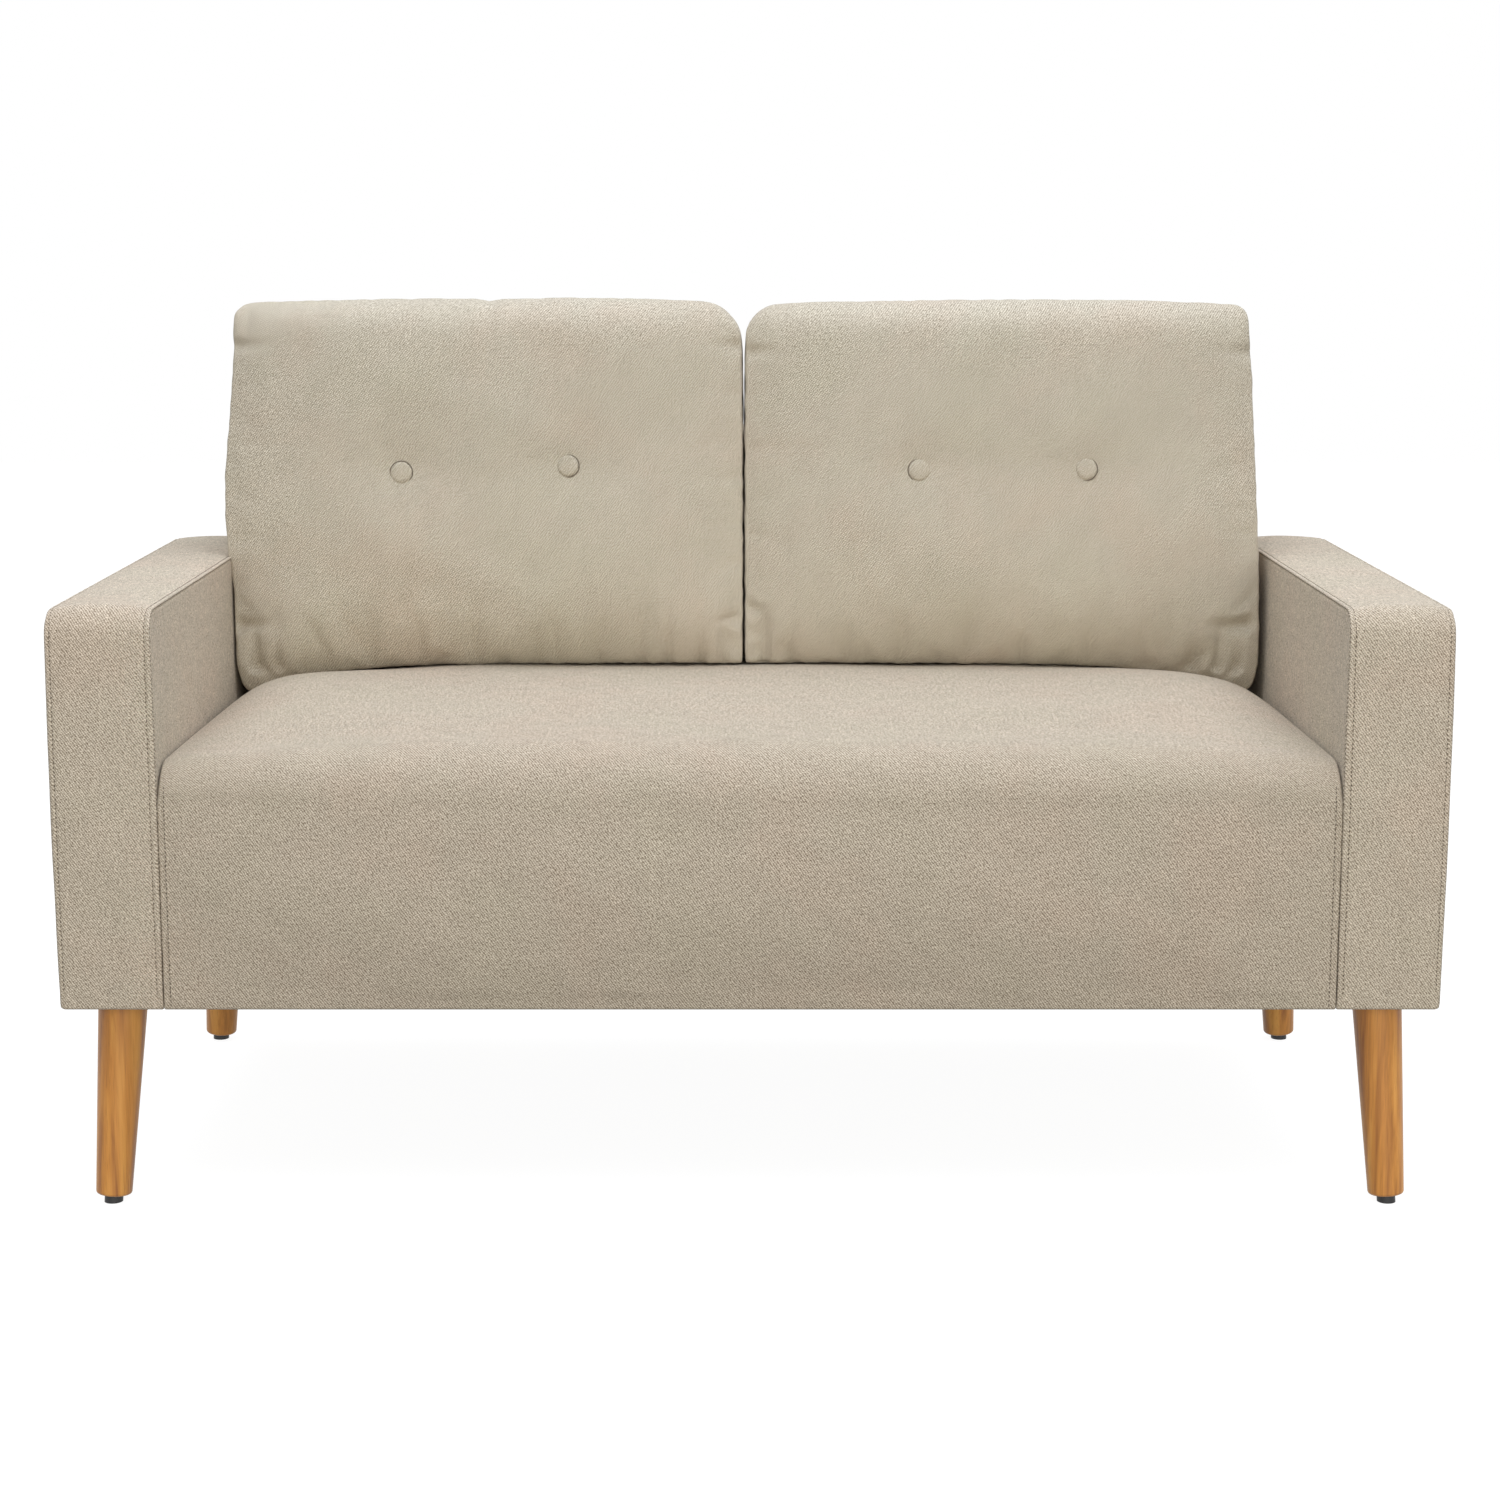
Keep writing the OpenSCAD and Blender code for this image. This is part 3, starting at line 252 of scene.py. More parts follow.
def block(name, corners, half_w, centre_x, edges, crown=0.0, swell=(0.0, 0.0), seed=1, sag=0.35, belly=0.0):
    """A padded block: a band round its outline with seams at both edges, and a panel on each side."""
    base, _ = outline(corners, 0.0)
    path = run_length(base)
    cloth = Cloth()
    places = []
    for sign, edge_r in ((-1, edges[0]), (1, edges[1])):
        flat = half_w - edge_r
        seam_q = flat + SEAM_TURN * edge_r
        stitch_q = seam_q - STITCH_IN
        half = [(sign * q, edge_r, flat, seam_q, stitch_q)
                for q in half_stations(flat + edge_r * math.pi / 2, stitch_q)]
        places += half[:0:-1] if sign < 0 else half
    rows, uvs = [], []
    for q, edge_r, flat, seam_q, stitch_q in places:
        aq = abs(q)
        turn = max(0.0, aq - flat) / edge_r
        x = math.copysign(flat * min(1, aq / flat) + edge_r * math.sin(turn), q) if aq > 0 else 0.0
        inset = edge_r * (1 - math.cos(turn))
        pts, nrm = outline(corners, inset)
        up = np.clip(nrm[:, 1], 0, 1) ** 2
        lift = crown * up * (1 - (x / half_w) ** 2)
        rise = np.clip((pts[:, 1] - BASE_Z) / (ARM_H - BASE_Z), 0, 1)
        forward = np.clip(-nrm[:, 0], 0, 1) ** 2
        lift = lift + belly * forward * np.sin(math.pi * rise) * (1 - 0.6 * (x / half_w) ** 2)
        groove = dent(aq - stitch_q, *STITCH_FURROW) + dent(aq - seam_q, *SEAM_FURROW)
        strip = 0.0
        if aq <= seam_q:
            strip = STRIP_RISE * min(1, max(0, (aq - stitch_q - STRIP_FROM) / STRIP_EASE))
        pad = dent(aq - stitch_q, sag, SAG_REACH)
        low = np.clip((pts[:, 1] - BASE_Z) / FLAT_FOOT, 0, 1)
        wave = smooth_noise(seed, BAND_WAVES, pts[:, 0], pts[:, 1], x)
        ripple = smooth_noise(seed + 5, BAND_RIPPLE, path, q * 0.35)
        near = -dent(aq - stitch_q, 1.0, RIPPLE_REACH)
        push = lift + (groove + strip + pad + wave * (1 - near) + ripple * near) * low
        side = math.sin(turn) if q > 0 else -math.sin(turn)
        face = math.cos(turn)
        yz = [pts[:, k] + push * nrm[:, k] * face for k in (0, 1)]
        rows.append(np.stack([x + push * side * SEAM_PUSH_SHARE, *yz], 1))
        uvs.append(np.stack([np.full(len(pts), q), path], 1))
    band = np.array(rows)
    cloth.patch(band, np.array(uvs), closed=True)
    for sign, out in ((-1, swell[0]), (1, swell[1])):
        edge = band[0] if sign < 0 else band[-1]
        mid = (edge[:, 1:].min(0) + edge[:, 1:].max(0)) / 2
        ring, ring_uv = [], []
        for k, s in enumerate(1 - np.array(PANEL_DEPTHS) / PANEL_REACH):
            yz = mid + (edge[:, 1:] - mid) * s
            depth = (1 - s) * PANEL_REACH
            groove = dent(depth, *PANEL_FURROW) if k else 0.0
            puff = out * (1 - math.exp(-depth / PANEL_PUFF_REACH))
            fade = min(1, depth / PANEL_WAVES_IN, max(0, (PANEL_WAVES_END - depth) / PANEL_WAVES_EASE))
            noise = smooth_noise(seed + 9, PANEL_WAVES, yz[:, 0], yz[:, 1]) * fade
            x = edge[:, 0] + sign * (groove + puff + (noise if out > PANEL_SWOLLEN else 0.0))
            ring.append(np.stack([x, yz[:, 0], yz[:, 1]], 1))
            ring_uv.append(yz)
        ring, ring_uv = np.array(ring), np.array(ring_uv)
        cloth.patch(ring, ring_uv, flip=sign < 0, closed=True, uv_end=ring_uv[:, :1])
        # the middle of the panel is closed by a fan
        last = (ring[-1], ring_uv[-1])
        fill, fill_uv = (np.stack([g, np.repeat(g.mean(0)[None], len(g), 0)]) for g in last)
        cloth.patch(fill, fill_uv, flip=sign < 0, closed=True)
    # the patches are views of their grids, so that the band moves with its points
    for p in cloth.points:
        p[:, 0] += centre_x
    lines = []
    across = np.array([p[0] for p in places])
    for sign, edge_r in ((-1, edges[0]), (1, edges[1])):
        seam_q = half_w - edge_r + SEAM_TURN * edge_r
        for q in (seam_q - STITCH_IN, seam_q - SEAM_THREAD_IN):
            lines.append(band[int(np.argmin(abs(across - sign * q)))])
    return cloth.build(name), lines


STITCH_PITCH, STITCH_LENGTH, THREAD_R = 4.4, 2.4, 0.55
STITCH_FROM_Z = BASE_Z + 4
THREAD_SIDES = 5
# one stitch: place along its length and thickness, both as shares
THREAD_SHARES = ((-0.5, 0.25), (-0.32, 0.9), (0.0, 1.0), (0.32, 0.9), (0.5, 0.25))


def places_along(line, s, at):
    """Points of a line at distances at; s holds the distances of its own points."""
    return np.stack([np.interp(np.clip(at, 0, s[-1]), s, line[:, k]) for k in range(3)], 1)


def stitches(name, lines):
    """Top stitching: short threads along lines of places in mm, one mesh."""
    verts, faces = [], []
    ring = THREAD_SIDES
    for line in lines:
        s = run_length(line)
        at = (np.arange(int(s[-1] / STITCH_PITCH)) + 0.5) * STITCH_PITCH
        mid = places_along(line, s, at)
        ahead = places_along(line, s, at + STITCH_LENGTH / 2)
        behind = places_along(line, s, at - STITCH_LENGTH / 2)
        for p, a, b in zip(mid, ahead, behind):
            if p[2] < STITCH_FROM_Z:
                continue
            t = a - b
            t /= np.linalg.norm(t) + 1e-9
            side = np.cross(t, [0.3, 0.5, 0.8])
            side /= np.linalg.norm(side)
            other = np.cross(t, side)
            start = len(verts)
            for f, r in THREAD_SHARES:
                for k in range(ring):
                    ang = 2 * math.pi * k / ring
                    round_it = side * math.cos(ang) + other * math.sin(ang)
                    verts.append(p + t * f * STITCH_LENGTH + round_it * THREAD_R * r)
            for j in range(len(THREAD_SHARES) - 1):
                for k in range(ring):
                    k2 = (k + 1) % ring
                    near, far = start + j * ring, start + (j + 1) * ring
                    faces.append((near + k, near + k2, far + k2, far + k))
            last = start + (len(THREAD_SHARES) - 1) * ring
            faces.append(tuple(start + k for k in range(ring))[::-1])
            faces.append(tuple(last + k for k in range(ring)))
    mesh = bpy.data.meshes.new(name)
    mesh.from_pydata((np.array(verts) * MM).tolist(), [], faces)
    smooth(mesh)
    return add_object(name, mesh)


# Materials


class Net:
    """Short calls for building a material's nodes."""

    def __init__(self, name):
        self.mat = bpy.data.materials.new(name)
        self.mat.use_nodes = True
        self.t = self.mat.node_tree
        self.bsdf = self.t.nodes["Principled BSDF"]

    def put(self, socket, value):
        if isinstance(value, bpy.types.NodeSocket):
            self.t.links.new(value, socket)
        else:
            socket.default_value = value

    def node(self, kind, **props):
        n = self.t.nodes.new(kind)
        for k, v in props.items():
            setattr(n, k, v)
        return n

    def math(self, op, a, b=None, c=None):
        n = self.node("ShaderNodeMath", operation=op)
        for i, v in enumerate((a, b, c)):
            if v is not None:
                self.put(n.inputs[i], v)
        return n.outputs[0]

    def mix(self, fac, a, b, blend="MIX"):
        n = self.node("ShaderNodeMix", data_type="RGBA", blend_type=blend)
        self.put(n.inputs[0], fac)
        for s, v in ((6, a), (7, b)):
            self.put(n.inputs[s], v if isinstance(v, bpy.types.NodeSocket) else (*v, 1.0))
        return n.outputs[2]

    def clamp(self, value):
        n = self.node("ShaderNodeClamp")
        self.put(n.inputs[0], value)
        return n.outputs[0]

    def split(self, vector):
        n = self.node("ShaderNodeSeparateXYZ")
        self.put(n.inputs[0], vector)
        return n.outputs

    def noise(self, vector, scale, detail=2.0, rough=0.5):
        n = self.node("ShaderNodeTexNoise")
        for k, v in (("Vector", vector), ("Scale", scale), ("Detail", detail), ("Roughness", rough)):
            self.put(n.inputs[k], v)
        return n.outputs[0]

    def ramp(self, value, *stops):
        n = self.node("ShaderNodeValToRGB")
        self.put(n.inputs[0], value)
        e = n.color_ramp.elements
        e[0].position, e[0].color = stops[0][0], (*stops[0][1], 1)
        e[1].position, e[1].color = stops[-1][0], (*stops[-1][1], 1)
        for pos, col in stops[1:-1]:
            e.new(pos).color = (*col, 1)
        return n.outputs[0]

    def object_place(self):
        return self.node("ShaderNodeTexCoord").outputs["Object"]

    def stretch(self, vector, x, y, z):
        n = self.node("ShaderNodeMapping")
        self.put(n.inputs["Vector"], vector)
        n.inputs["Scale"].default_value = (x, y, z)
        return n.outputs[0]

    def bump(self, height, distance, strength=1.0, normal=None):
        n = self.node("ShaderNodeBump")
        for k, v in (("Strength", strength), ("Distance", distance), ("Height", height)):
            self.put(n.inputs[k], v)
        if normal is not None:
            self.put(n.inputs["Normal"], normal)
        return n.outputs[0]

    def surface(self, **values):
        """Sets inputs of the shader by their names, with _ for a space."""
        for k, v in values.items():
            self.put(self.bsdf.inputs[k.replace("_", " ")], v)
        return self.mat


def grey(value):
    return (value, value, value)


# Twill: pitch and wander of its yarns in metres, and noise scales per metre
TWILL_LIGHT = (0.70, 0.61, 0.49)
TWILL_DARK = (0.215, 0.169, 0.117)
YARN_PITCH, YARN_WANDER, CROSS_YARN_SHARE = 0.0027, 0.0026, 1.25
WANDER_SCALE, YARN_SCALE, FUZZ_SCALE = 280.0, 560.0, 260.0
GRAIN_SCALE, NAP_SCALE, TINT_SCALE = 450.0, 34.0, 8.0
WEAVE_RELIEF = 0.0004
# brush strokes: axis that the cloth faces, stretch, scale, darkest and lightest factor
STROKES = ((0, (1.0, 0.45), 240.0, 0.78, 1.14), (2, (1.0, 0.3), 270.0, 0.78, 1.15))
STROKE_GAIN, STROKE_START = 9.0, -7.9
# painted shade on the bend from the top to the front: its gain by the cloth's facing, and the colour it
# multiplies by
NOSE_PAINTED_SHADE_GAIN, NOSE_PAINTED_SHADE = -1.8, (0.86, 0.855, 0.85)


def fabric(name, light=TWILL_LIGHT, dark=TWILL_DARK, twill=1.0, nap=(0.35, 1.0), nap_gain=0.6, strokes=0.0):
    """Brushed twill in weave coordinates: diagonal heathered yarns, soft mottling and a brushed nap."""
    g = Net(name)
    uv = g.node("ShaderNodeUVMap", uv_map="weave").outputs[0]
    u, v, _ = g.split(uv)
    wob = g.math("MULTIPLY", g.math("SUBTRACT", g.noise(uv, WANDER_SCALE, 1.5), 0.5), YARN_WANDER)
    k = 2 * math.pi / YARN_PITCH
    diag = g.math("MULTIPLY", g.math("ADD", g.math("SUBTRACT", u, g.math("MULTIPLY", v, 0.75)), wob), k)
    across = g.math("ADD", g.math("ADD", g.math("MULTIPLY", u, 0.5), v), wob)
    cross = g.math("MULTIPLY", across, k * CROSS_YARN_SHARE)
    rope = g.math("MULTIPLY_ADD", g.math("SINE", diag), 0.5, 0.5)
    cut = g.math("MULTIPLY_ADD", g.math("SINE", cross), 0.5, 0.5)
    height = g.math("MULTIPLY_ADD", g.math("MULTIPLY", rope, cut), 0.6, g.math("MULTIPLY", rope, 0.4))
    yarn = g.noise(uv, YARN_SCALE, 2.0, 0.65)
    fuzz = g.noise(g.stretch(uv, nap[0], nap[1], 1.0), FUZZ_SCALE, 3.0, 0.65)
    depth = g.math("MULTIPLY_ADD", g.math("SUBTRACT", yarn, 0.5), 1.25, height)
    grain = g.math("SUBTRACT", g.noise(uv, GRAIN_SCALE, 1.0, 0.5), 0.5)
    fac = g.math("MULTIPLY_ADD", g.math("SUBTRACT", depth, 0.42), 0.95 * twill, 0.60)
    fac = g.math("MULTIPLY_ADD", grain, 1.25 * twill, fac)
    col = g.mix(g.clamp(fac), dark, light)
    big = g.noise(g.object_place(), TINT_SCALE, 4.0, 0.6)
    tint = g.ramp(big, (0.34, (0.975, 1.0, 0.975)), (0.5, grey(1.0)), (0.66, (1.03, 0.97, 0.96)))
    col = g.mix(0.5, col, tint, "MULTIPLY")
    mid = g.noise(g.stretch(uv, nap[0] + 0.4, nap[1] + 0.2, 1.0), NAP_SCALE, 5.0, 0.68)
    shade = g.ramp(mid, (0.30, (0.90, 0.895, 0.885)), (0.70, grey(1.07)))
    col = g.mix(nap_gain, col, shade, "MULTIPLY")
    streak = g.ramp(fuzz, (0.30, grey(0.88)), (0.70, grey(1.10)))
    col = g.mix(nap_gain, col, streak, "MULTIPLY")
    facing = g.split(g.node("ShaderNodeNewGeometry").outputs["Normal"])
    if strokes:
        # the brush leaves broad strokes on the side panels and finer ones along the tops
        for axis, wide, scale, low, high in STROKES:
            faced = g.math("ABSOLUTE", facing[axis])
            flat = g.clamp(g.math("MULTIPLY_ADD", faced, STROKE_GAIN, STROKE_START))
            brush = g.noise(g.stretch(uv, *wide, 1.0), scale, 3.0, 0.7)
            marks = g.ramp(brush, (0.32, grey(low)), (0.68, grey(high)))
            col = g.mix(g.math("MULTIPLY", flat, strokes), col, marks, "MULTIPLY")
    # painted shade: the colour is a little darker where the cloth faces forward and up, on the bend from the
    # top to the front
    painted_nose_shade = g.clamp(g.math("MULTIPLY", g.math("MULTIPLY", facing[1], facing[2]), NOSE_PAINTED_SHADE_GAIN))
    return g.surface(
        Base_Color=g.mix(painted_nose_shade, col, NOSE_PAINTED_SHADE, "MULTIPLY"),
        Roughness=g.math("MULTIPLY_ADD", mid, 0.12, 0.80),
        Sheen_Weight=0.12,
        Sheen_Roughness=0.45,
        Sheen_Tint=(1.0, 0.985, 0.94, 1),
        Specular_IOR_Level=0.12,
        Normal=g.bump(height, WEAVE_RELIEF, 0.7, g.bump(fuzz, WEAVE_RELIEF, 0.4)),
    )


# Dark thread of the stitches and button rings: the stitches' dark brown is partly the thread's own colour and
# partly painted shade, for the shade in the stitch holes
def thread_material():
    g = Net("stitch_thread_painted_shade")
    twist = g.noise(g.object_place(), 2600.0, 1.0)
    return g.surface(
        Base_Color=g.mix(twist, (0.07, 0.052, 0.034), (0.14, 0.11, 0.075)),
        Roughness=g.math("MULTIPLY_ADD", twist, 0.15, 0.6),
        Normal=g.bump(twist, 0.0001, 0.5),
    )


GRAIN_SHARE, PORE_SHARE = 0.045, 0.02


def wood_material(name, dark, mid, light, rough, coat, along="Z", grain=1.0):
    """Timber with its grain and pores drawn out along one axis."""
    g = Net(name)
    place = g.object_place()
    drawn = [GRAIN_SHARE if axis == along else 1 for axis in "XYZ"]
    pore_drawn = [PORE_SHARE if axis == along else 1 for axis in "XYZ"]
    long_grain = g.noise(g.stretch(place, *drawn), 95.0 * grain, 4.0, 0.6)
    pores = g.noise(g.stretch(place, *pore_drawn), 900.0 * grain, 2.0, 0.6)
    broad = g.noise(g.stretch(place, *drawn), 26.0 * grain, 2.0, 0.5)
    col = g.ramp(long_grain, (0.30, dark), (0.5, mid), (0.68, light))
    tone = g.ramp(broad, (0.32, (0.80, 0.76, 0.70)), (0.68, (1.14, 1.14, 1.10)))
    col = g.mix(0.8, col, tone, "MULTIPLY")
    pore = g.ramp(pores, (0.30, (0.62, 0.55, 0.48)), (0.44, grey(1.0)))
    return g.surface(
        Base_Color=g.mix(0.45, col, pore, "MULTIPLY"),
        Roughness=g.math("MULTIPLY_ADD", long_grain, 0.16, rough - 0.08),
        Coat_Weight=coat,
        Coat_Roughness=0.3,
        Normal=g.bump(g.math("ADD", pores, long_grain), 0.00025, 0.35),
    )


def speckled(name, a, b, scale, rough, metal=0.0, bump=0.0002, stretch=(1, 1, 1), spec=0.5):
    """Plain stuff with a fine grain: plastic, foam, felt, board or metal."""
    g = Net(name)
    fine = g.noise(g.stretch(g.object_place(), *stretch), scale, 3.0, 0.6)
    broad = g.noise(g.object_place(), 14.0, 2.0, 0.5)
    fac = g.math("MULTIPLY_ADD", broad, 0.35, g.math("MULTIPLY", fine, 0.65))
    return g.surface(
        Base_Color=g.mix(fac, a, b),
        Roughness=g.math("MULTIPLY_ADD", fine, 0.2, rough - 0.1),
        Metallic=metal,
        Specular_IOR_Level=spec,
        Normal=g.bump(fine, bump, 0.6),
    )


OAK = ((0.315, 0.108, 0.014), (0.605, 0.255, 0.046), (0.765, 0.375, 0.085))
FRAME_TIMBER = ((0.42, 0.27, 0.13), (0.60, 0.42, 0.23), (0.70, 0.53, 0.32))
SPECKLED = {
    # darkest and lightest colour, scale of the grain, roughness, what differs from plain stuff
    "zip_tape": ((0.16, 0.14, 0.11), (0.30, 0.27, 0.22), 900.0, 0.7, {}),
    "hardboard": ((0.12, 0.065, 0.03), (0.24, 0.145, 0.075), 420.0, 0.7, {}),
    "foam": ((0.66, 0.58, 0.34), (0.83, 0.77, 0.55), 900.0, 0.95, dict(bump=0.0006, spec=0.1)),
    "fibre": ((0.72, 0.72, 0.70), (0.90, 0.90, 0.88), 300.0, 0.95, dict(bump=0.0006, spec=0.1)),
    "felt": ((0.10, 0.095, 0.09), (0.27, 0.26, 0.25), 700.0, 0.95, dict(stretch=(1, 0.3, 1), spec=0.1)),
    "webbing": ((0.035, 0.033, 0.032), (0.12, 0.115, 0.11), 800.0, 0.85, dict(stretch=(1, 1, 0.15))),
    "underlining": (grey(0.006), grey(0.03), 650.0, 0.9, dict(bump=0.0003)),
    "cord": ((0.60, 0.56, 0.45), (0.80, 0.76, 0.64), 1500.0, 0.7, {}),
    "trim_plastic": ((0.22, 0.20, 0.175), (0.30, 0.28, 0.25), 500.0, 0.45, dict(bump=0.00005)),
    "glide_plastic": (grey(0.006), grey(0.02), 600.0, 0.5, dict(bump=0.00006)),
    "spring_steel": ((0.05, 0.05, 0.055), (0.16, 0.16, 0.165), 500.0, 0.42, dict(metal=1.0, bump=0.00003)),
    "zinc_steel": ((0.42, 0.43, 0.45), (0.66, 0.67, 0.68), 350.0, 0.35, dict(metal=1.0, bump=0.00003)),
}
# painted light: the arms' twill is the seat's twill made about a tenth lighter, for the brighter light the
# arms catch; the cloth is the same
ARM_TWILL_PAINTED_LIGHTER = ((0.765, 0.67, 0.540), (0.235, 0.186, 0.129))
CUSHION_TWILL = ((0.722, 0.655, 0.533), (0.230, 0.191, 0.136))
MATERIALS = {
    "twill": fabric("twill", strokes=0.8),
    # arm_twill carries painted light: a lighter copy of the seat's twill
    "arm_twill": fabric("arm_twill", *ARM_TWILL_PAINTED_LIGHTER, nap=(1.0, 0.4), nap_gain=0.7, strokes=1.0),
    "cushion_twill": fabric("cushion_twill", *CUSHION_TWILL, twill=0.80, nap=(1.0, 0.5), nap_gain=0.55),
    "thread": thread_material(),
    "oak": wood_material("oak", *OAK, rough=0.45, coat=0.1),
    "frame_timber": wood_material("frame_timber", *FRAME_TIMBER, rough=0.7, coat=0.0, along="X", grain=0.7),
}
for name, (*look, extras) in SPECKLED.items():
    MATERIALS[name] = speckled(name, *look, **extras)


def wear(obj, material):
    obj.data.materials.clear()
    obj.data.materials.append(MATERIALS[material])


# Carried-over nodes get the material of their slot
slots = {s["node"]: s["material_slot"] for s in frame["record"]["subparts"]}
for node_name, node_obj in nodes.items():
    if not node_obj.material_slots:
        node_obj.data.materials.append(None)
    for ms in node_obj.material_slots:
        ms.material = MATERIALS[slots[node_name]]

def sew(name, lines):
    """Top stitching of the arms, seat or back."""
    sewn = stitches(name, lines)
    wear(sewn, "thread")
    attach(sewn, "settee")


# Arms: swell and seam roundness of the outer and inner panel, and fullness of the front
FOOT_R = 3.0
ARM_SWELLS, ARM_EDGES, ARM_BELLY, ARM_SEED = (2.8, 0.2), (6.0, 1.8), 4.5, 11
ARM_REAR_RISE, ARM_REAR_ROUNDER = 3, 2
ARM_CORNERS = [
    (ARM_Y0, BASE_Z, FOOT_R),
    (ARM_Y1, BASE_Z, FOOT_R),
    (ARM_Y1, ARM_H + ARM_REAR_RISE, ARM_REAR_R + ARM_REAR_ROUNDER),
    (ARM_Y0, ARM_H, ARM_FRONT_R),
]
for side, sign in (("left", -1), ("right", 1)):
    swell, edges = ARM_SWELLS[::-sign], ARM_EDGES[::-sign]
    arm, seams = block(
        f"{side}_arm_upholstery", ARM_CORNERS, ARM_W / 2, sign * ARM_MID, edges, ARM_CROWN, swell,
        seed=ARM_SEED + sign, belly=ARM_BELLY,
    )
    wear(arm, "arm_twill")
    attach(arm, "settee")
    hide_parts(f"{side}_arm_cover")
    sew(f"{side}_arm_stitching", seams)


# Seat, in mm; its places from front to rear are shares of its depth
SWELL_END_SHARE = 0.8
FULL_FRONT, FULL_REAR, FULL_SHARE = 6, 14, 0.6
FULL_END_SHARE, FULL_EASE_SHARE = 0.81, 0.07
SEAT_EDGE_R = 1.8
SEAT_FIT, SEAT_REAR_FIT = 0.1, 0.2
SEAT_STITCH_IN = 7.0
SEAT_FOOT_R = 3
SEAT_WAVES, SEAT_RIPPLE, SEAT_WAVES_EASE = (150.0, 1.1), (45.0, 0.22), 60
TOP_DIP = (12.0, 2.0)
SEAT_FINE_W, SEAT_FINE_STEP = 16, 0.7
SIDE_CENTRE = (0.0, 330.0)


def seat_edge(y):
    return SEAT_EDGE_H - SEAT_REAR_DROP * np.maximum(0, (y - ARM_Y0) / SEAT_D) ** 2


def seat_swell(y):
    s = np.clip((y - ARM_Y0) / (SWELL_END_SHARE * SEAT_D), 0, 1)
    return SEAT_CROWN_FRONT + (SEAT_CROWN_REAR - SEAT_CROWN_FRONT) * s * s * (3 - 2 * s)


def seat_top(share, y):
    """Height of the seat's top; it is fullest at the arms just before the cushions, which press it down."""
    place = np.asarray((y - ARM_Y0) / SEAT_D)
    gain = np.clip(place / FULL_SHARE, 0, 1) ** 2 * np.clip((FULL_END_SHARE - place) / FULL_EASE_SHARE, 0, 1)
    full = FULL_FRONT + (FULL_REAR - FULL_FRONT) * gain
    return seat_edge(y) + seat_swell(y) * (1 - np.minimum(1, abs(share)) ** full)


def seat_profile(share, d):
    """One closed section of the seat, set in by d: top from the rear, nose, front, underside and rear.

    Returns its points (n, 2) and how many of them lie before the underside.
    """
    r = SEAT_NOSE_R + SEAT_NOSE_GAIN * (1 - share**4)
    yf, yn, yr = ARM_Y0 + d, ARM_Y0 + r, SEAT_Y1 - SEAT_REAR_FIT
    zn = float(seat_top(share, yn)) - r
    zb, foot = BASE_Z, SEAT_FOOT_R
    swell = SEAT_BULGE * (1 - abs(share) ** 6)
    top_y = np.linspace(yr, yn, 70)
    top = np.stack([top_y, seat_top(share, top_y) - d], 1)
    a = np.radians(np.linspace(90, 180, 22))[1:]
    nose = np.stack([yn + (r - d) * np.cos(a), zn + (r - d) * np.sin(a)], 1)
    s = np.linspace(1, 0, 42)[1:]
    z = zb + foot + s * (zn - zb - foot)
    front = np.stack([yf - swell * np.sin(np.pi * s), z], 1)
    a = np.radians(np.linspace(180, 270, 6))[1:]
    low = np.stack([yf + foot + foot * np.cos(a), zb + foot + foot * np.sin(a)], 1)
    under = np.stack([np.linspace(yf + foot, yr, 20)[1:], np.full(19, zb)], 1)
    rear = np.stack([np.full(8, yr), np.linspace(zb, float(top[0, 1]), 10)[1:-1]], 1)
    shown = np.concatenate([top, nose, front, low])
    return np.concatenate([shown, under, rear]), len(shown)


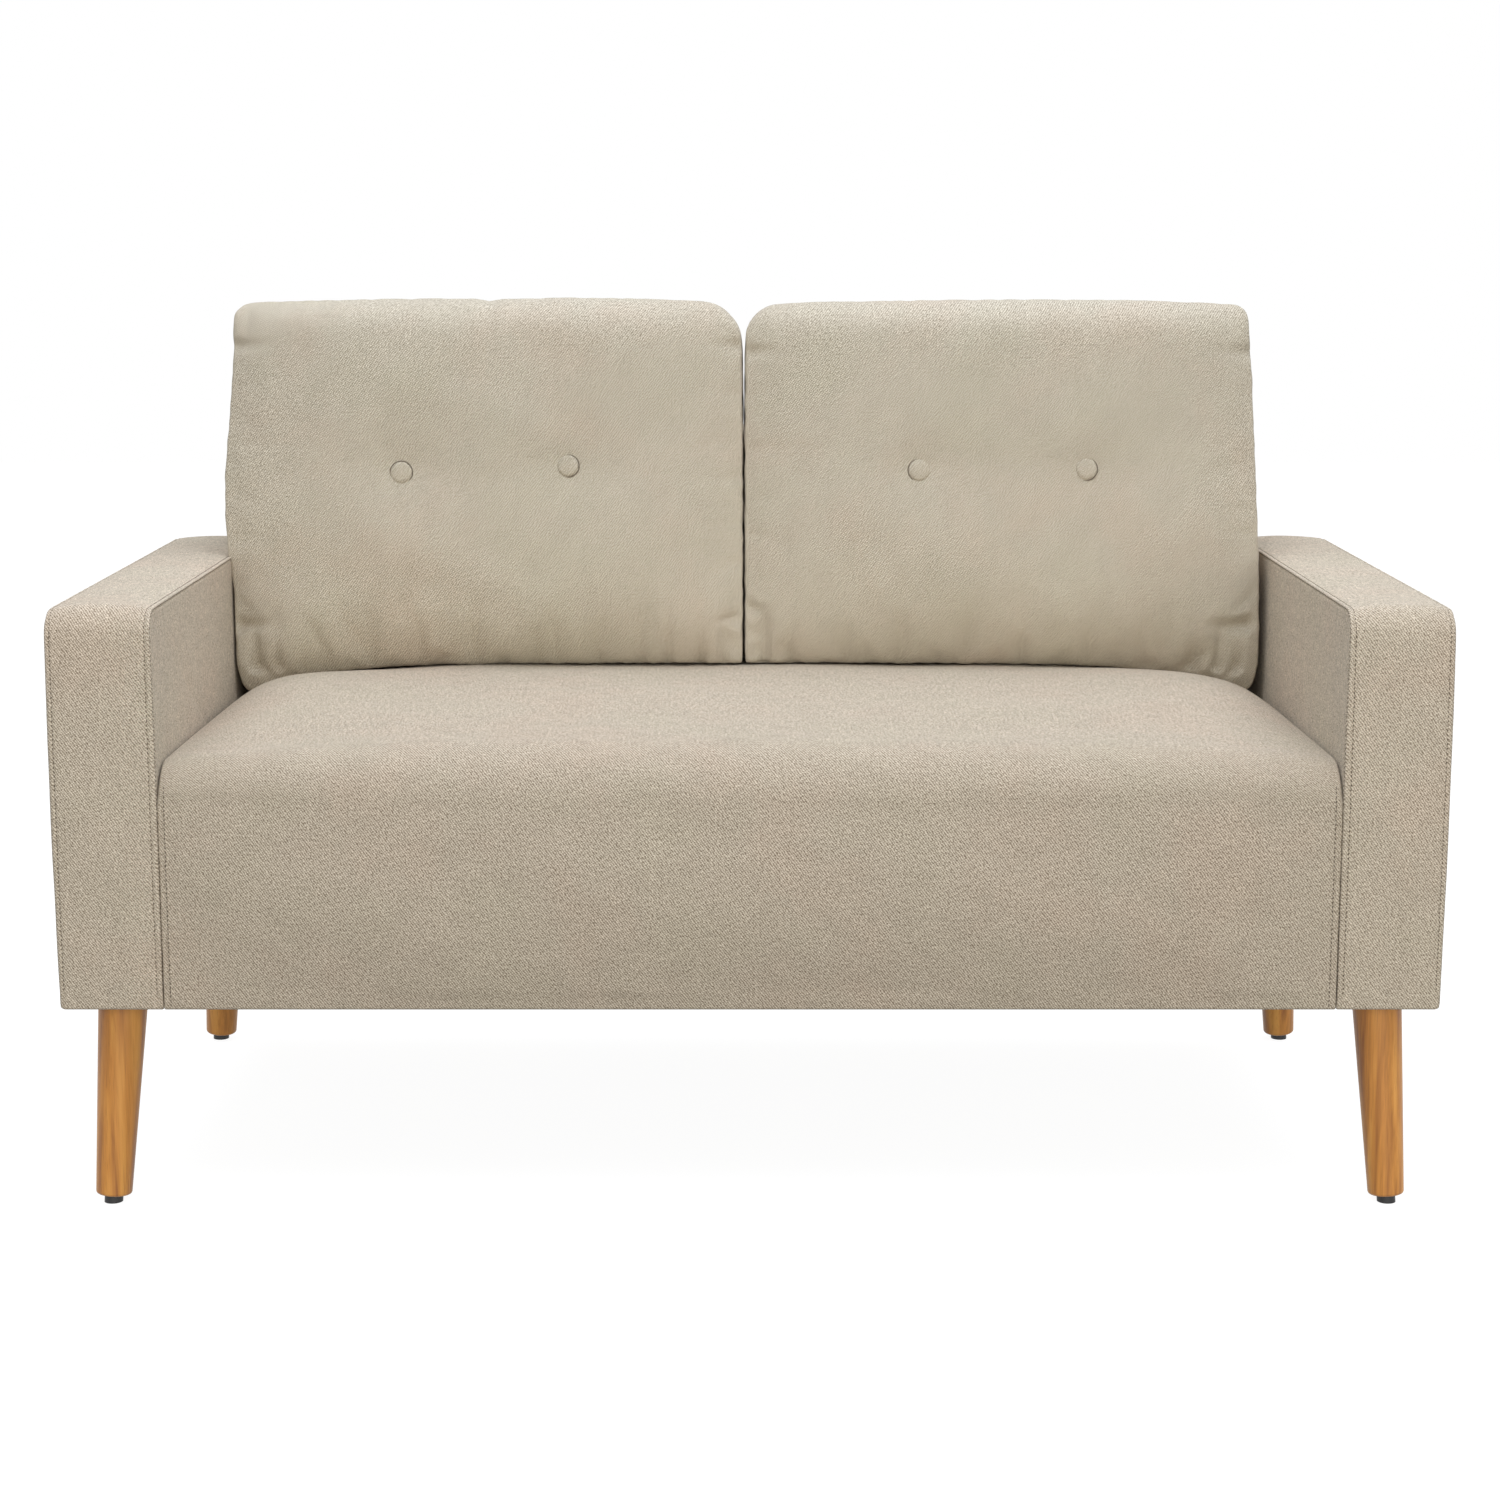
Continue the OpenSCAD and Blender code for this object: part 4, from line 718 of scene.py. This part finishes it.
def seat_piece():
    """The tight seat: sections from side to side, and a cap on each side. Returns it and stitching lines."""
    half = SEAT_HALF + SEAT_FIT
    inner = np.linspace(0, half - SEAT_FINE_W, 48)
    outer = np.arange(half - SEAT_FINE_W, half, SEAT_FINE_STEP)[1:]
    q = np.concatenate([inner, outer, [half]])
    q = np.concatenate([-q[:0:-1], q])
    stitch_x = half - SEAT_STITCH_IN
    rows = []
    for x in q:
        past = max(0.0, abs(x) - (half - SEAT_EDGE_R))
        d = SEAT_EDGE_R - math.sqrt(max(SEAT_EDGE_R**2 - past**2, 0))
        pts, face_n = seat_profile(x / half, min(d, SEAT_EDGE_R))
        t = np.gradient(pts, axis=0)
        t /= np.linalg.norm(t, axis=1)[:, None] + 1e-9
        nrm = np.stack([-t[:, 1], t[:, 0]], 1)
        # the rear end of the top, the foot and all that is hidden stay as they are
        mask = np.zeros(len(pts))
        mask[: face_n - 8] = 1
        mask[:3] = 0
        on_front = np.clip((SEAT_EDGE_H - 25 - pts[:, 1]) / 20, 0, 1)
        groove = dent(abs(x) - stitch_x, *STITCH_FURROW) * on_front
        broad = smooth_noise(31, SEAT_WAVES, pts[:, 0], pts[:, 1], x)
        small = smooth_noise(32, SEAT_RIPPLE, pts[:, 0], pts[:, 1], x)
        push = (groove + (broad + small) * min(1, (half - abs(x)) / SEAT_WAVES_EASE)) * mask
        yz = pts + nrm * push[:, None]
        on_top = np.clip((pts[:, 1] - SEAT_EDGE_H + 45) / 20, 0, 1) * mask
        yz[:, 1] += dent(half - abs(x), *TOP_DIP) * on_top
        rows.append(np.stack([np.full(len(pts), x), yz[:, 0], yz[:, 1]], 1))
    rows = np.array(rows)
    path = run_length(rows[len(rows) // 2])
    uv = np.stack([np.repeat(q[:, None], rows.shape[1], 1), np.repeat(path[None], len(q), 0)], 2)
    cloth = Cloth()
    cloth.patch(rows, uv, closed=True)
    for k in (0, -1):
        ring = rows[k]
        centre = np.repeat(np.array([[ring[0, 0], *SIDE_CENTRE]]), len(ring), 0)
        cap = np.stack([ring, ring * 0.3 + centre * 0.7, centre])
        cloth.patch(cap, cap[:, :, 1:], flip=k == 0, closed=True)
    lines = []
    for sign in (-1, 1):
        line = rows[int(np.argmin(abs(q - sign * stitch_x)))]
        lines.append(line[(line[:, 2] < SEAT_EDGE_H - 18) & (line[:, 1] < ARM_Y0 + 20)])
    return cloth.build("seat_upholstery"), lines


seat, seat_lines = seat_piece()
wear(seat, "twill")
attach(seat, "settee")
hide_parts("seat_cover")
sew("seat_stitching", seat_lines)

# Back, hidden but for its middle; it stands a little behind the solid's front
BACK_SET = 0.2
BACK_FIT = 0.3
BACK_EDGE_R, BACK_SEED = 4.0, 21
BACK_REAR_R, BACK_TOP_R, BACK_BEND_R = 14.0, 26.0, 60.0
rake_y = BACK_Y0 + (BACK_H - BACK_RAKE_Z) * math.tan(BACK_RAKE)
BACK_CORNERS = [
    (BACK_Y0 + BACK_SET, BASE_Z, FOOT_R),
    (ARM_Y1, BASE_Z, FOOT_R),
    (ARM_Y1, BACK_H, BACK_REAR_R),
    (rake_y, BACK_H, BACK_TOP_R),
    (BACK_Y0 + BACK_SET, BACK_RAKE_Z, BACK_BEND_R),
]
back, back_lines = block(
    "back_upholstery", BACK_CORNERS, SEAT_HALF - BACK_FIT, 0.0, (BACK_EDGE_R, BACK_EDGE_R),
    seed=BACK_SEED, sag=0.0,
)
wear(back, "twill")
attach(back, "settee")
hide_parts("back_cover")
sew("back_stitching", back_lines)


# Back cushions, in mm: crown and tuck follow these powers of the share of the way out to the edges

PUFF_X, PUFF_LOW, PUFF_HIGH = 3.0, 3.6, 17.0
TUCK_LOW, TUCK_HIGH = 6.0, 17.0
VALLEY, VALLEY_REACH = 2.4, 42.0
REAR_CROWN, REAR_TUFT = 5.5, 6.0
FRONT_TUFT_REACH, REAR_TUFT_REACH = (30.0, 26.0), (26.0, 22.0)
CUSHION_WAVES, CUSHION_RIPPLE = (190.0, 2.4), (75.0, 0.55)
LOW_CREASES, LOW_CREASE_REACH = (42.0, 1.3), 75.0
FOLD_WIDTH_SHARE, FOLD_REACH_SHARE, FOLD_GAIN = 0.75, 0.85, 2.1
SEAM_EASE = 6.0
BOX_RIPPLE = (24.0, 0.45)
PRESS_GAP, PRESS_SOFT = CUSHION_GAP + 0.6, 5.0
FOLD_CAP = 0.006


def corner_round(dx, dh, r):
    """Moves places within r of a square corner onto a rounded one; dx and dh are distances from its edges."""
    a = 1 - np.clip(dx / r, 0, 1)
    b = 1 - np.clip(dh / r, 0, 1)
    a2, b2 = a * np.sqrt(1 - b * b / 2), b * np.sqrt(1 - a * a / 2)
    inside = (dx < r) & (dh < r)
    return np.where(inside, (1 - a2) * r, dx), np.where(inside, (1 - b2) * r, dh)


def cushion_plan(look, sx, sh):
    """Place across and up in the seam plane, in mm from the cushion's lower left corner, for shares -1..1."""
    u, v = (sx + 1) / 2, (sh + 1) / 2
    left = np.interp(v, look["h"], look["left"])
    right = np.interp(v, look["h"], look["right"])
    x = left + (right - left) * u
    top = np.interp(u, look["u"], look["top"])
    low = np.interp(u, look["low_u"], look["low"])
    h = low + v * (top - low)
    dl, dr = x - left, right - x
    db, dt = h - low, top - h
    for which, (cx, ch) in (("bl", (dl, db)), ("br", (dr, db)), ("tl", (dl, dt)), ("tr", (dr, dt))):
        nx, nh = corner_round(cx, ch, look["r"][which])
        x = x + (nx - cx) * (1 if which[1] == "l" else -1)
        h = h + (nh - ch) * (1 if which[0] == "b" else -1)
    return x, h


def tuft_pull(x, h, buttons, reach):
    """1 at a button, falling off round it."""
    total = 0.0
    for bx, bh in buttons:
        total = total + np.exp(-((((x - bx) / reach[0]) ** 2 + ((h - bh) / reach[1]) ** 2) ** 0.7))
    return np.minimum(total, 1.0)


def cushion_forms(look, sx, sh):
    """Front and rear panels of a cushion: x, h, t at each share."""
    x, h = cushion_plan(look, sx, sh)
    puff = (1 - abs(sx) ** PUFF_X) * (1 - abs(sh) ** np.where(sh < 0, PUFF_LOW, PUFF_HIGH))
    fade, seed = puff ** 0.5, look["seed"]
    tuck = CUSHION_TUCK * abs(sh) ** np.where(sh < 0, TUCK_LOW, TUCK_HIGH)
    valley = VALLEY * (1 - sx**4) * np.exp(-(((h - BUTTON_H) / VALLEY_REACH) ** 2))
    front = CUSHION_BOX_T - tuck + CUSHION_CROWN * puff - valley
    front = front - TUFT_SHOWN * tuft_pull(x, h, look["buttons"], FRONT_TUFT_REACH)
    front = front + smooth_noise(seed, CUSHION_WAVES, x, h) * fade
    front = front + smooth_noise(seed + 1, CUSHION_RIPPLE, x, h) * fade
    creases = smooth_noise(seed + 2, LOW_CREASES, x, h * 0.45)
    front = front + creases * fade * np.exp(-((h / LOW_CREASE_REACH) ** 2))
    rear = -REAR_CROWN * puff + REAR_TUFT * tuft_pull(x, h, look["buttons"], REAR_TUFT_REACH)
    return x, h, front, rear


def gathers(look, edge, s, depth):
    """Puckers that run in from a seam: s is the place along it in mm, depth the distance from it in mm."""
    total = 0.0
    for at, width, amount, reach in look["gathers"][edge]:
        across = np.exp(-(((s - at) / (FOLD_WIDTH_SHARE * width)) ** 2))
        inward = np.exp(-((np.maximum(depth, 0) / (FOLD_REACH_SHARE * reach)) ** 1.3))
        total = total + FOLD_GAIN * amount * (across * inward)
    return total


def cushion_piece(look, nx=112, nh=84, nt=24):
    """Front, rear and box of a cushion, weave places of the box, and where the seams are in the grids."""
    sx, sh = np.meshgrid(np.linspace(-1, 1, nx), np.linspace(-1, 1, nh), indexing="ij")
    x, h, front, rear = cushion_forms(look, sx, sh)
    d_low, d_high = h, CUSHION_H - h
    d_left, d_right = x, CUSHION_W - x
    pull = gathers(look, "low", x, d_low) + gathers(look, "top", x, d_high)
    pull = pull + gathers(look, "left", h, d_left) + gathers(look, "right", h, d_right)
    from_seam = np.minimum(np.minimum(d_low, d_high), np.minimum(d_left, d_right))
    front = front - pull * np.clip(from_seam / SEAM_EASE, 0, 1)
    grid_f = np.stack([x, h, front], 2)
    grid_r = np.stack([x, h, rear], 2)
    ring_ids = (
        [(i, 0) for i in range(nx - 1)]
        + [(nx - 1, j) for j in range(nh - 1)]
        + [(i, nh - 1) for i in range(nx - 1, 0, -1)]
        + [(0, j) for j in range(nh - 1, 0, -1)]
    )
    ri = np.array(ring_ids)
    f_ring, r_ring = grid_f[ri[:, 0], ri[:, 1]], grid_r[ri[:, 0], ri[:, 1]]
    tangent = np.roll(f_ring, -1, 0) - np.roll(f_ring, 1, 0)
    out = np.stack([tangent[:, 1], -tangent[:, 0]], 1)
    out /= np.linalg.norm(out, axis=1)[:, None]
    along = run_length(f_ring)
    box, box_uv = [], []
    for k in range(nt + 1):
        w = k / nt
        p = f_ring * (1 - w) + r_ring * w
        inside = 0 < w < 1
        side_puff = np.where(out[:, 0] > 0, look["puff"][1], look["puff"][0]) * abs(out[:, 0]) ** 2
        side_puff = side_puff + np.where(out[:, 1] > 0, look["puff"][2], 0.0) * abs(out[:, 1]) ** 2
        swell = side_puff * (math.sin(math.pi * w) ** 0.8 if inside else 0.0)
        noise = smooth_noise(look["seed"] + 3, BOX_RIPPLE, along, w * 30)
        ripple = noise * ((math.exp(-w * 5) + math.exp(-(1 - w) * 5)) if inside else 0.0)
        p[:, :2] += out * (swell + ripple)[:, None]
        box.append(p)
        box_uv.append(np.stack([along, np.full(len(along), -w * CUSHION_BOX_T)], 1))
    return grid_f, grid_r, np.array(box), np.array(box_uv), ri


def to_world(look, p):
    """From across, up and forward on a cushion to the settee's frame."""
    c, s = math.cos(BACK_RAKE), math.sin(BACK_RAKE)
    y = CUSHION_Y - p[..., 2] * c + p[..., 1] * s
    z = CUSHION_Z + p[..., 2] * s + p[..., 1] * c
    return np.stack([look["x0"] + p[..., 0], y, z], -1)


def pressed(p):
    """Places of a cushion in the settee's frame, its underside pressed onto the seat."""
    x, y, z = (p[..., k] for k in range(3))
    floor = seat_top(x / SEAT_HALF, y) + PRESS_GAP
    gap = z - floor
    z = np.where(gap > PRESS_SOFT, z, floor + PRESS_SOFT * np.exp((gap - PRESS_SOFT) / PRESS_SOFT))
    return np.stack([x, y, z], -1)


def blurred(grid, n):
    """A grid of offsets, averaged n times with its neighbours."""
    g = grid.copy()
    for _ in range(n):
        p = np.pad(g, ((1, 1), (1, 1), (0, 0)), mode="edge")
        g = (p[:-2, 1:-1] + p[2:, 1:-1] + p[1:-1, :-2] + p[1:-1, 2:] + 4 * g) / 8
    return g


CLOTH = dict(
    quality=6, mass=0.25, tension_stiffness=18, compression_stiffness=12, shear_stiffness=4,
    bending_stiffness=0.35, tension_damping=8, compression_damping=8, vertex_group_mass="pin",
    pin_stiffness=1.0, shrink_min=-0.035, use_pressure=True, uniform_pressure_force=4.0,
)
CLOTH_FRAMES = 20


def simulate(obj, pinned):
    """Inflates a piece with Cloth and returns where its points come to rest."""
    group = obj.vertex_groups.new(name="pin")
    group.add([int(i) for i in pinned], 1.0, "REPLACE")
    mod = obj.modifiers.new("cloth", "CLOTH")
    for k, v in CLOTH.items():
        setattr(mod.settings, k, v)
    mod.settings.effector_weights.gravity = 0.0
    mod.collision_settings.use_collision = False
    mod.point_cache.frame_start = 1
    mod.point_cache.frame_end = CLOTH_FRAMES
    for f in range(1, CLOTH_FRAMES + 1):
        scene.frame_set(f)
    co = coordinates(obj.evaluated_get(bpy.context.evaluated_depsgraph_get()).data)
    obj.modifiers.remove(mod)
    obj.vertex_groups.remove(group)
    scene.frame_set(1)
    return co


def coordinates(mesh):
    co = np.empty(len(mesh.vertices) * 3)
    mesh.vertices.foreach_get("co", co)
    return co.reshape(-1, 3)


# Each cushion as the photograph shows it: left and right edge at shares h of its height, top and low edge at
# shares of its width, corner radii, buttons, puff of the box (left, right, top), and gathers of each seam as
# (place, width, amount, reach), in mm
BUTTON_X = (CUSHION_W / 2 - BUTTON_PITCH / 2, CUSHION_W / 2 + BUTTON_PITCH / 2)
LOOKS = {
    "left": {
        "x0": LEFT_X - CUSHION_W / 2,
        "h": [0.0, 0.08, 0.27, 0.36, 0.46, 0.57, 0.69, 0.85, 1.0],
        "left": [7, 1.2, 0.6, -5.5, -8, -7.5, -2.5, 3.2, 4.5],
        "right": [551, 551, 551.5, 551.5, 551.5, 551.5, 551.3, 550.8, 548.5],
        "u": [0.0, 0.12, 0.3, 0.47, 0.5, 0.53, 0.65, 0.8, 1.0],
        "top": [398, 400, 402, 402.5, 399.5, 402, 403.5, 402.5, 398],
        "low_u": [0.0, 0.04, 0.08, 0.14, 0.26, 0.9, 1.0],
        "low": [-23, -20, -14, -7, 0, 0, -1],
        "r": {"bl": 12.0, "br": 12.0, "tl": 15.0, "tr": 40.0},
        "buttons": ((BUTTON_X[0], BUTTON_H - 5.0), (BUTTON_X[1], BUTTON_H + 2.0)),
        "puff": (0.5, 0.6, 3.0),
        "seed": 101,
        "gathers": {
            "low": [(24, 8, 8, 22), (48, 6, 6, 30), (74, 6, 3.0, 18), (150, 9, 2.5, 22), (205, 8, 3.5, 22),
                    (262, 9, 3.0, 28), (330, 9, 2.5, 24), (395, 8, 3.5, 26), (440, 7, 4.0, 34),
                    (470, 6, 5.0, 40), (505, 7, 8, 32), (530, 6, 7, 22)],
            "top": [(20, 9, 3.5, 26), (95, 9, 1.0, 18), (330, 5, 3, 16), (450, 7, 2.5, 22), (512, 7, 4, 24)],
            "right": [(60, 9, 3, 18), (120, 8, 1.5, 16), (210, 8, 1.5, 16), (300, 8, 1.5, 16),
                      (352, 7, 4, 24)],
            "left": [(352, 7, 4.5, 30), (52, 9, 5, 26), (200, 12, 0.8, 18)],
        },
    },
    "right": {
        "x0": RIGHT_X - CUSHION_W / 2,
        "h": [0.0, 0.05, 0.12, 0.3, 0.45, 0.69, 0.83, 0.92, 1.0],
        "left": [1.5, 1.2, 1.0, 0.8, 0.8, 0.8, 1.1, 2.0, 3.5],
        "right": [551, 557, 559, 557.5, 555, 549.5, 546.5, 544, 541],
        "u": [0.0, 0.1, 0.17, 0.2, 0.4, 0.6, 0.8, 1.0],
        "top": [395, 398, 399.5, 399, 401, 401.5, 400.5, 396],
        "low_u": [0.0, 0.1, 0.72, 0.86, 0.92, 0.96, 1.0],
        "low": [-1, 0, 0, -7, -14, -20, -24],
        "r": {"bl": 12.0, "br": 12.0, "tl": 32.0, "tr": 9.0},
        "buttons": ((BUTTON_X[0], BUTTON_H - 2.5), (BUTTON_X[1], BUTTON_H - 1.5)),
        "puff": (0.6, 1.0, 3.0),
        "seed": 137,
        "gathers": {
            "low": [(22, 8, 8, 28), (50, 6, 5, 26), (110, 9, 2.5, 24), (170, 9, 3.5, 24), (240, 8, 2.5, 22),
                    (300, 10, 3, 28), (372, 9, 2.5, 24), (430, 8, 3.5, 26), (486, 8, 6, 34), (514, 6, 6, 26),
                    (536, 6, 7, 20)],
            "top": [(40, 7, 4.5, 24), (92, 8, 1.5, 18), (250, 9, 1.0, 18), (430, 9, 1.2, 18),
                    (520, 8, 3.5, 24)],
            "right": [(52, 9, 5, 28), (150, 9, 1.2, 18), (345, 8, 4, 28)],
            "left": [(70, 8, 3, 18), (150, 8, 1.2, 16), (240, 9, 1.5, 16), (345, 7, 4, 24)],
        },
    },
}


MATCH = 4e-5
BUTTON_PIN_R = 13.0
FRONT_BLUR, BOX_BLUR, BOX_FOLDS = 90, 30, 0.3


def mesh_ids(rest, grid):
    """Which vertex of a welded mesh stands at each place of a grid."""
    index = {tuple(k): i for i, k in enumerate(np.round(rest / MATCH).astype(np.int64))}
    places = grid.reshape(-1, 3) * MM
    found = []
    for p, k in zip(places, map(tuple, np.round(places / MATCH).astype(np.int64))):
        i = index.get(k)
        found.append(int(np.argmin(((rest - p) ** 2).sum(1))) if i is None else i)
    return np.array(found).reshape(grid.shape[:2])


def fold_share(grid):
    """How much of the simulated folds a front keeps: most along the low edge, little in the middle."""
    x, h = grid[:, :, 0], grid[:, :, 1]
    low = np.exp(-((np.maximum(h, 0) / 60.0) ** 2))
    sides = np.exp(-((np.minimum(x, CUSHION_W - x) / 34.0) ** 2)) * (0.22 + 0.6 * low)
    high = 0.3 * np.exp(-(((CUSHION_H - h) / 26.0) ** 2))
    return np.clip(0.09 + 0.9 * low + sides + high, 0, 1)[:, :, None]


def fold(obj, look, flat_front, grids, seam):
    """Adds the fine folds of a Cloth run to a cushion; grids are its front, rear and box in the mesh."""
    rest = coordinates(obj.data)
    front, rear, box = (mesh_ids(rest, grid) for grid in grids)
    pin = set(front[seam[:, 0], seam[:, 1]].tolist()) | set(rear.ravel().tolist())
    for bx, bh in look["buttons"]:
        near = ((flat_front[:, :, 0] - bx) ** 2 + (flat_front[:, :, 1] - bh) ** 2) < BUTTON_PIN_R**2
        pin |= set(front[near].tolist())
    delta = simulate(obj, sorted(pin)) - rest
    final = rest.copy()
    for ids, blur, share in ((front, FRONT_BLUR, fold_share(flat_front)), (box, BOX_BLUR, BOX_FOLDS)):
        fine = delta[ids] - blurred(delta[ids], blur)
        size = np.linalg.norm(fine, axis=2, keepdims=True)
        fine = fine * np.minimum(1, FOLD_CAP / np.maximum(size, 1e-9)) * share
        final[ids.ravel()] = (rest[ids] + fine).reshape(-1, 3)
    final[rear.ravel()] = rest[rear.ravel()]
    obj.data.vertices.foreach_set("co", final.ravel())
    obj.data.update()


def make_cushion(side, look):
    front, rear, box, box_uv, seam = cushion_piece(look)
    grids = [pressed(to_world(look, grid)) for grid in (front, rear, box)]
    cloth = Cloth()
    cloth.patch(grids[0], front[:, :, :2])
    cloth.patch(grids[1], rear[:, :, :2] * np.array([-1.0, 1.0]), flip=True)
    cloth.patch(grids[2][::-1], box_uv[::-1], closed=True)
    obj = cloth.build(f"{side}_cushion_upholstery")
    fold(obj, look, front, grids, seam)
    sub = obj.modifiers.new("subdivide", "SUBSURF")
    sub.levels = sub.render_levels = 1
    finer = bpy.data.meshes.new_from_object(obj.evaluated_get(bpy.context.evaluated_depsgraph_get()))
    obj.modifiers.remove(sub)
    obj.data = finer
    wear(obj, "cushion_twill")
    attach(obj, f"{side}_cushion")
    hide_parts(f"{side}_cushion_cover", f"{side}_cushion_fill")


# Covered buttons: a dome (radius as a share, height) whose edge tucks under, and round it a ring of dark
# thread that is painted shadow, for the thin shadow line round the button
BUTTON_DOME = ((0.0, 3.7), (0.25, 3.65), (0.5, 3.45), (0.72, 3.1), (0.86, 2.5), (0.95, 1.5), (1.0, 0.4),
               (0.98, -0.8), (0.9, -1.8), (0.6, -2.4), (0.0, -2.6))
BUTTON_R, BUTTON_RISE = BUTTON_D / 2 - 0.6, 0.6
# painted shadow: size and place of the dark ring round each button
SHADOW_RING_R, SHADOW_RING_RISE, SHADOW_RING_WIDE, SHADOW_RING_HIGH = BUTTON_R + 0.7, 1.0, 0.38, 0.36
DOME_STEPS, SHADOW_RING_STEPS, SHADOW_RING_SIDES = 48, 64, 8


def ring_of(bx, bh, r, t, steps):
    """A circle of points round a button."""
    a = np.linspace(0, 2 * math.pi, steps, endpoint=False)
    return np.stack([bx + r * np.cos(a), bh + r * np.sin(a), np.full(steps, t)], 1)


def make_buttons(side, look):
    domes, shadow_rings = Cloth(), Cloth()
    for bx, bh in look["buttons"]:
        sx, sh = (np.array([[2 * place / whole - 1]]) for place, whole in ((bx, CUSHION_W), (bh, CUSHION_H)))
        t0 = float(cushion_forms(look, sx, sh)[2][0, 0])
        rows = np.array([ring_of(bx, bh, share * BUTTON_R, t0 + rise + BUTTON_RISE, DOME_STEPS)
                         for share, rise in BUTTON_DOME])
        domes.patch(to_world(look, rows), rows[:, :, :2], closed=True)
        # a dark ring round the button, painted shadow
        ring = []
        for b in np.linspace(0, 2 * math.pi, SHADOW_RING_SIDES, endpoint=False):
            r, t = SHADOW_RING_R + SHADOW_RING_WIDE * math.cos(b), t0 + SHADOW_RING_RISE + SHADOW_RING_HIGH * math.sin(b)
            ring.append(ring_of(bx, bh, r, t, SHADOW_RING_STEPS))
        ring = np.array(ring + ring[:1])
        shadow_rings.patch(to_world(look, ring), np.zeros(ring.shape[:2] + (2,)), closed=True)
    shadow_ring_obj = shadow_rings.build(f"{side}_cushion_button_painted_shadow_rings")
    wear(shadow_ring_obj, "thread")
    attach(shadow_ring_obj, f"{side}_cushion")
    obj = domes.build(f"{side}_cushion_covered_buttons")
    wear(obj, "cushion_twill")
    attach(obj, f"{side}_cushion")
    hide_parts(f"{side}_cushion_buttons")


for side, look in LOOKS.items():
    make_cushion(side, look)
    make_buttons(side, look)

# Light, floor and camera, in metres and watts; the floor glows white for the camera, as in the photograph
FLOOR_REACH = 9
FLOOR_GLOW, FLOOR_GREY = 0.93, 0.22
STUDIO_TINT, STUDIO_LIGHT = (1.0, 0.98, 0.94, 1), 0.39
# place, aim, size, power and colour
OVERHEAD = ((0.15, -0.42, 3.4), (0, 0.05, 0.4), (5.0, 4.0), 150, (0.93, 1.0, 1.13))
FRONT_FILL = ((0.6, -4.6, 1.2), (0, 0, 0.5), (5.0, 2.6), 112, (1.0, 0.98, 0.92))
CAMERA_LENS, CAMERA_SENSOR = 68.74, 36
CAMERA_PLACE, CAMERA_DOWN = (0.0, -2.974, 0.932), 10.175

floor_mesh = bpy.data.meshes.new("floor")
square = ((-1, -1), (1, -1), (1, 1), (-1, 1))
floor_mesh.from_pydata([(x * FLOOR_REACH, y * FLOOR_REACH, 0) for x, y in square], [], [(0, 1, 2, 3)])
floor = add_object("floor", floor_mesh)


def show(tree, output, lit, seen):
    """Lights the scene with lit, but shows seen to camera, glossy and transmission rays."""
    new, link = tree.nodes.new, tree.links.new
    path = new("ShaderNodeLightPath")
    direct = path.outputs["Is Camera Ray"]
    for ray in ("Is Glossy Ray", "Is Transmission Ray"):
        either = new("ShaderNodeMath")
        either.operation = "MAXIMUM"
        link(direct, either.inputs[0])
        link(path.outputs[ray], either.inputs[1])
        direct = either.outputs[0]
    mix = new("ShaderNodeMixShader")
    for place, socket in enumerate((direct, lit.outputs[0], seen.outputs[0])):
        link(socket, mix.inputs[place])
    link(mix.outputs[0], new(output).inputs[0])


def floor_material():
    """White floor that still takes the settee's shadow, faintly."""
    mat = bpy.data.materials.new("floor_white")
    mat.use_nodes = True
    t = mat.node_tree
    t.nodes.clear()
    both = t.nodes.new("ShaderNodeAddShader")
    glow = t.nodes.new("ShaderNodeEmission")
    glow.inputs["Color"].default_value = (1, 1, 1, 1)
    glow.inputs["Strength"].default_value = FLOOR_GLOW
    matt = t.nodes.new("ShaderNodeBsdfDiffuse")
    matt.inputs["Color"].default_value = (*grey(FLOOR_GREY), 1)
    t.links.new(glow.outputs[0], both.inputs[0])
    t.links.new(matt.outputs[0], both.inputs[1])
    show(t, "ShaderNodeOutputMaterial", matt, both)
    return mat


floor_mesh.materials.append(floor_material())

world = bpy.data.worlds.new("studio")
scene.world = world
world.use_nodes = True
world.node_tree.nodes.clear()
w_lit, w_seen = (world.node_tree.nodes.new("ShaderNodeBackground") for _ in range(2))
w_seen.inputs[0].default_value = (1, 1, 1, 1)
w_lit.inputs[0].default_value = STUDIO_TINT
w_lit.inputs[1].default_value = STUDIO_LIGHT
show(world.node_tree, "ShaderNodeOutputWorld", w_lit, w_seen)


def softbox(name, place, aim, size, power, colour):
    data = bpy.data.lights.new(name, "AREA")
    data.shape = "RECTANGLE"
    data.size, data.size_y = size
    data.energy = power
    data.color = colour
    lamp = add_object(name, data)
    lamp.location = place
    lamp.rotation_euler = (Vector(aim) - Vector(place)).to_track_quat("-Z", "Y").to_euler()


softbox("overhead", *OVERHEAD)
softbox("front_fill", *FRONT_FILL)

cam_data = bpy.data.cameras.new("camera")
cam_data.lens = CAMERA_LENS
cam_data.sensor_width = CAMERA_SENSOR
cam_data.sensor_fit = "HORIZONTAL"
camera = add_object("camera", cam_data)
camera.location = CAMERA_PLACE
camera.rotation_euler = (math.radians(90 - CAMERA_DOWN), 0, 0)
scene.camera = camera
scene.view_settings.view_transform = "Standard"

bpy.context.view_layer.update()
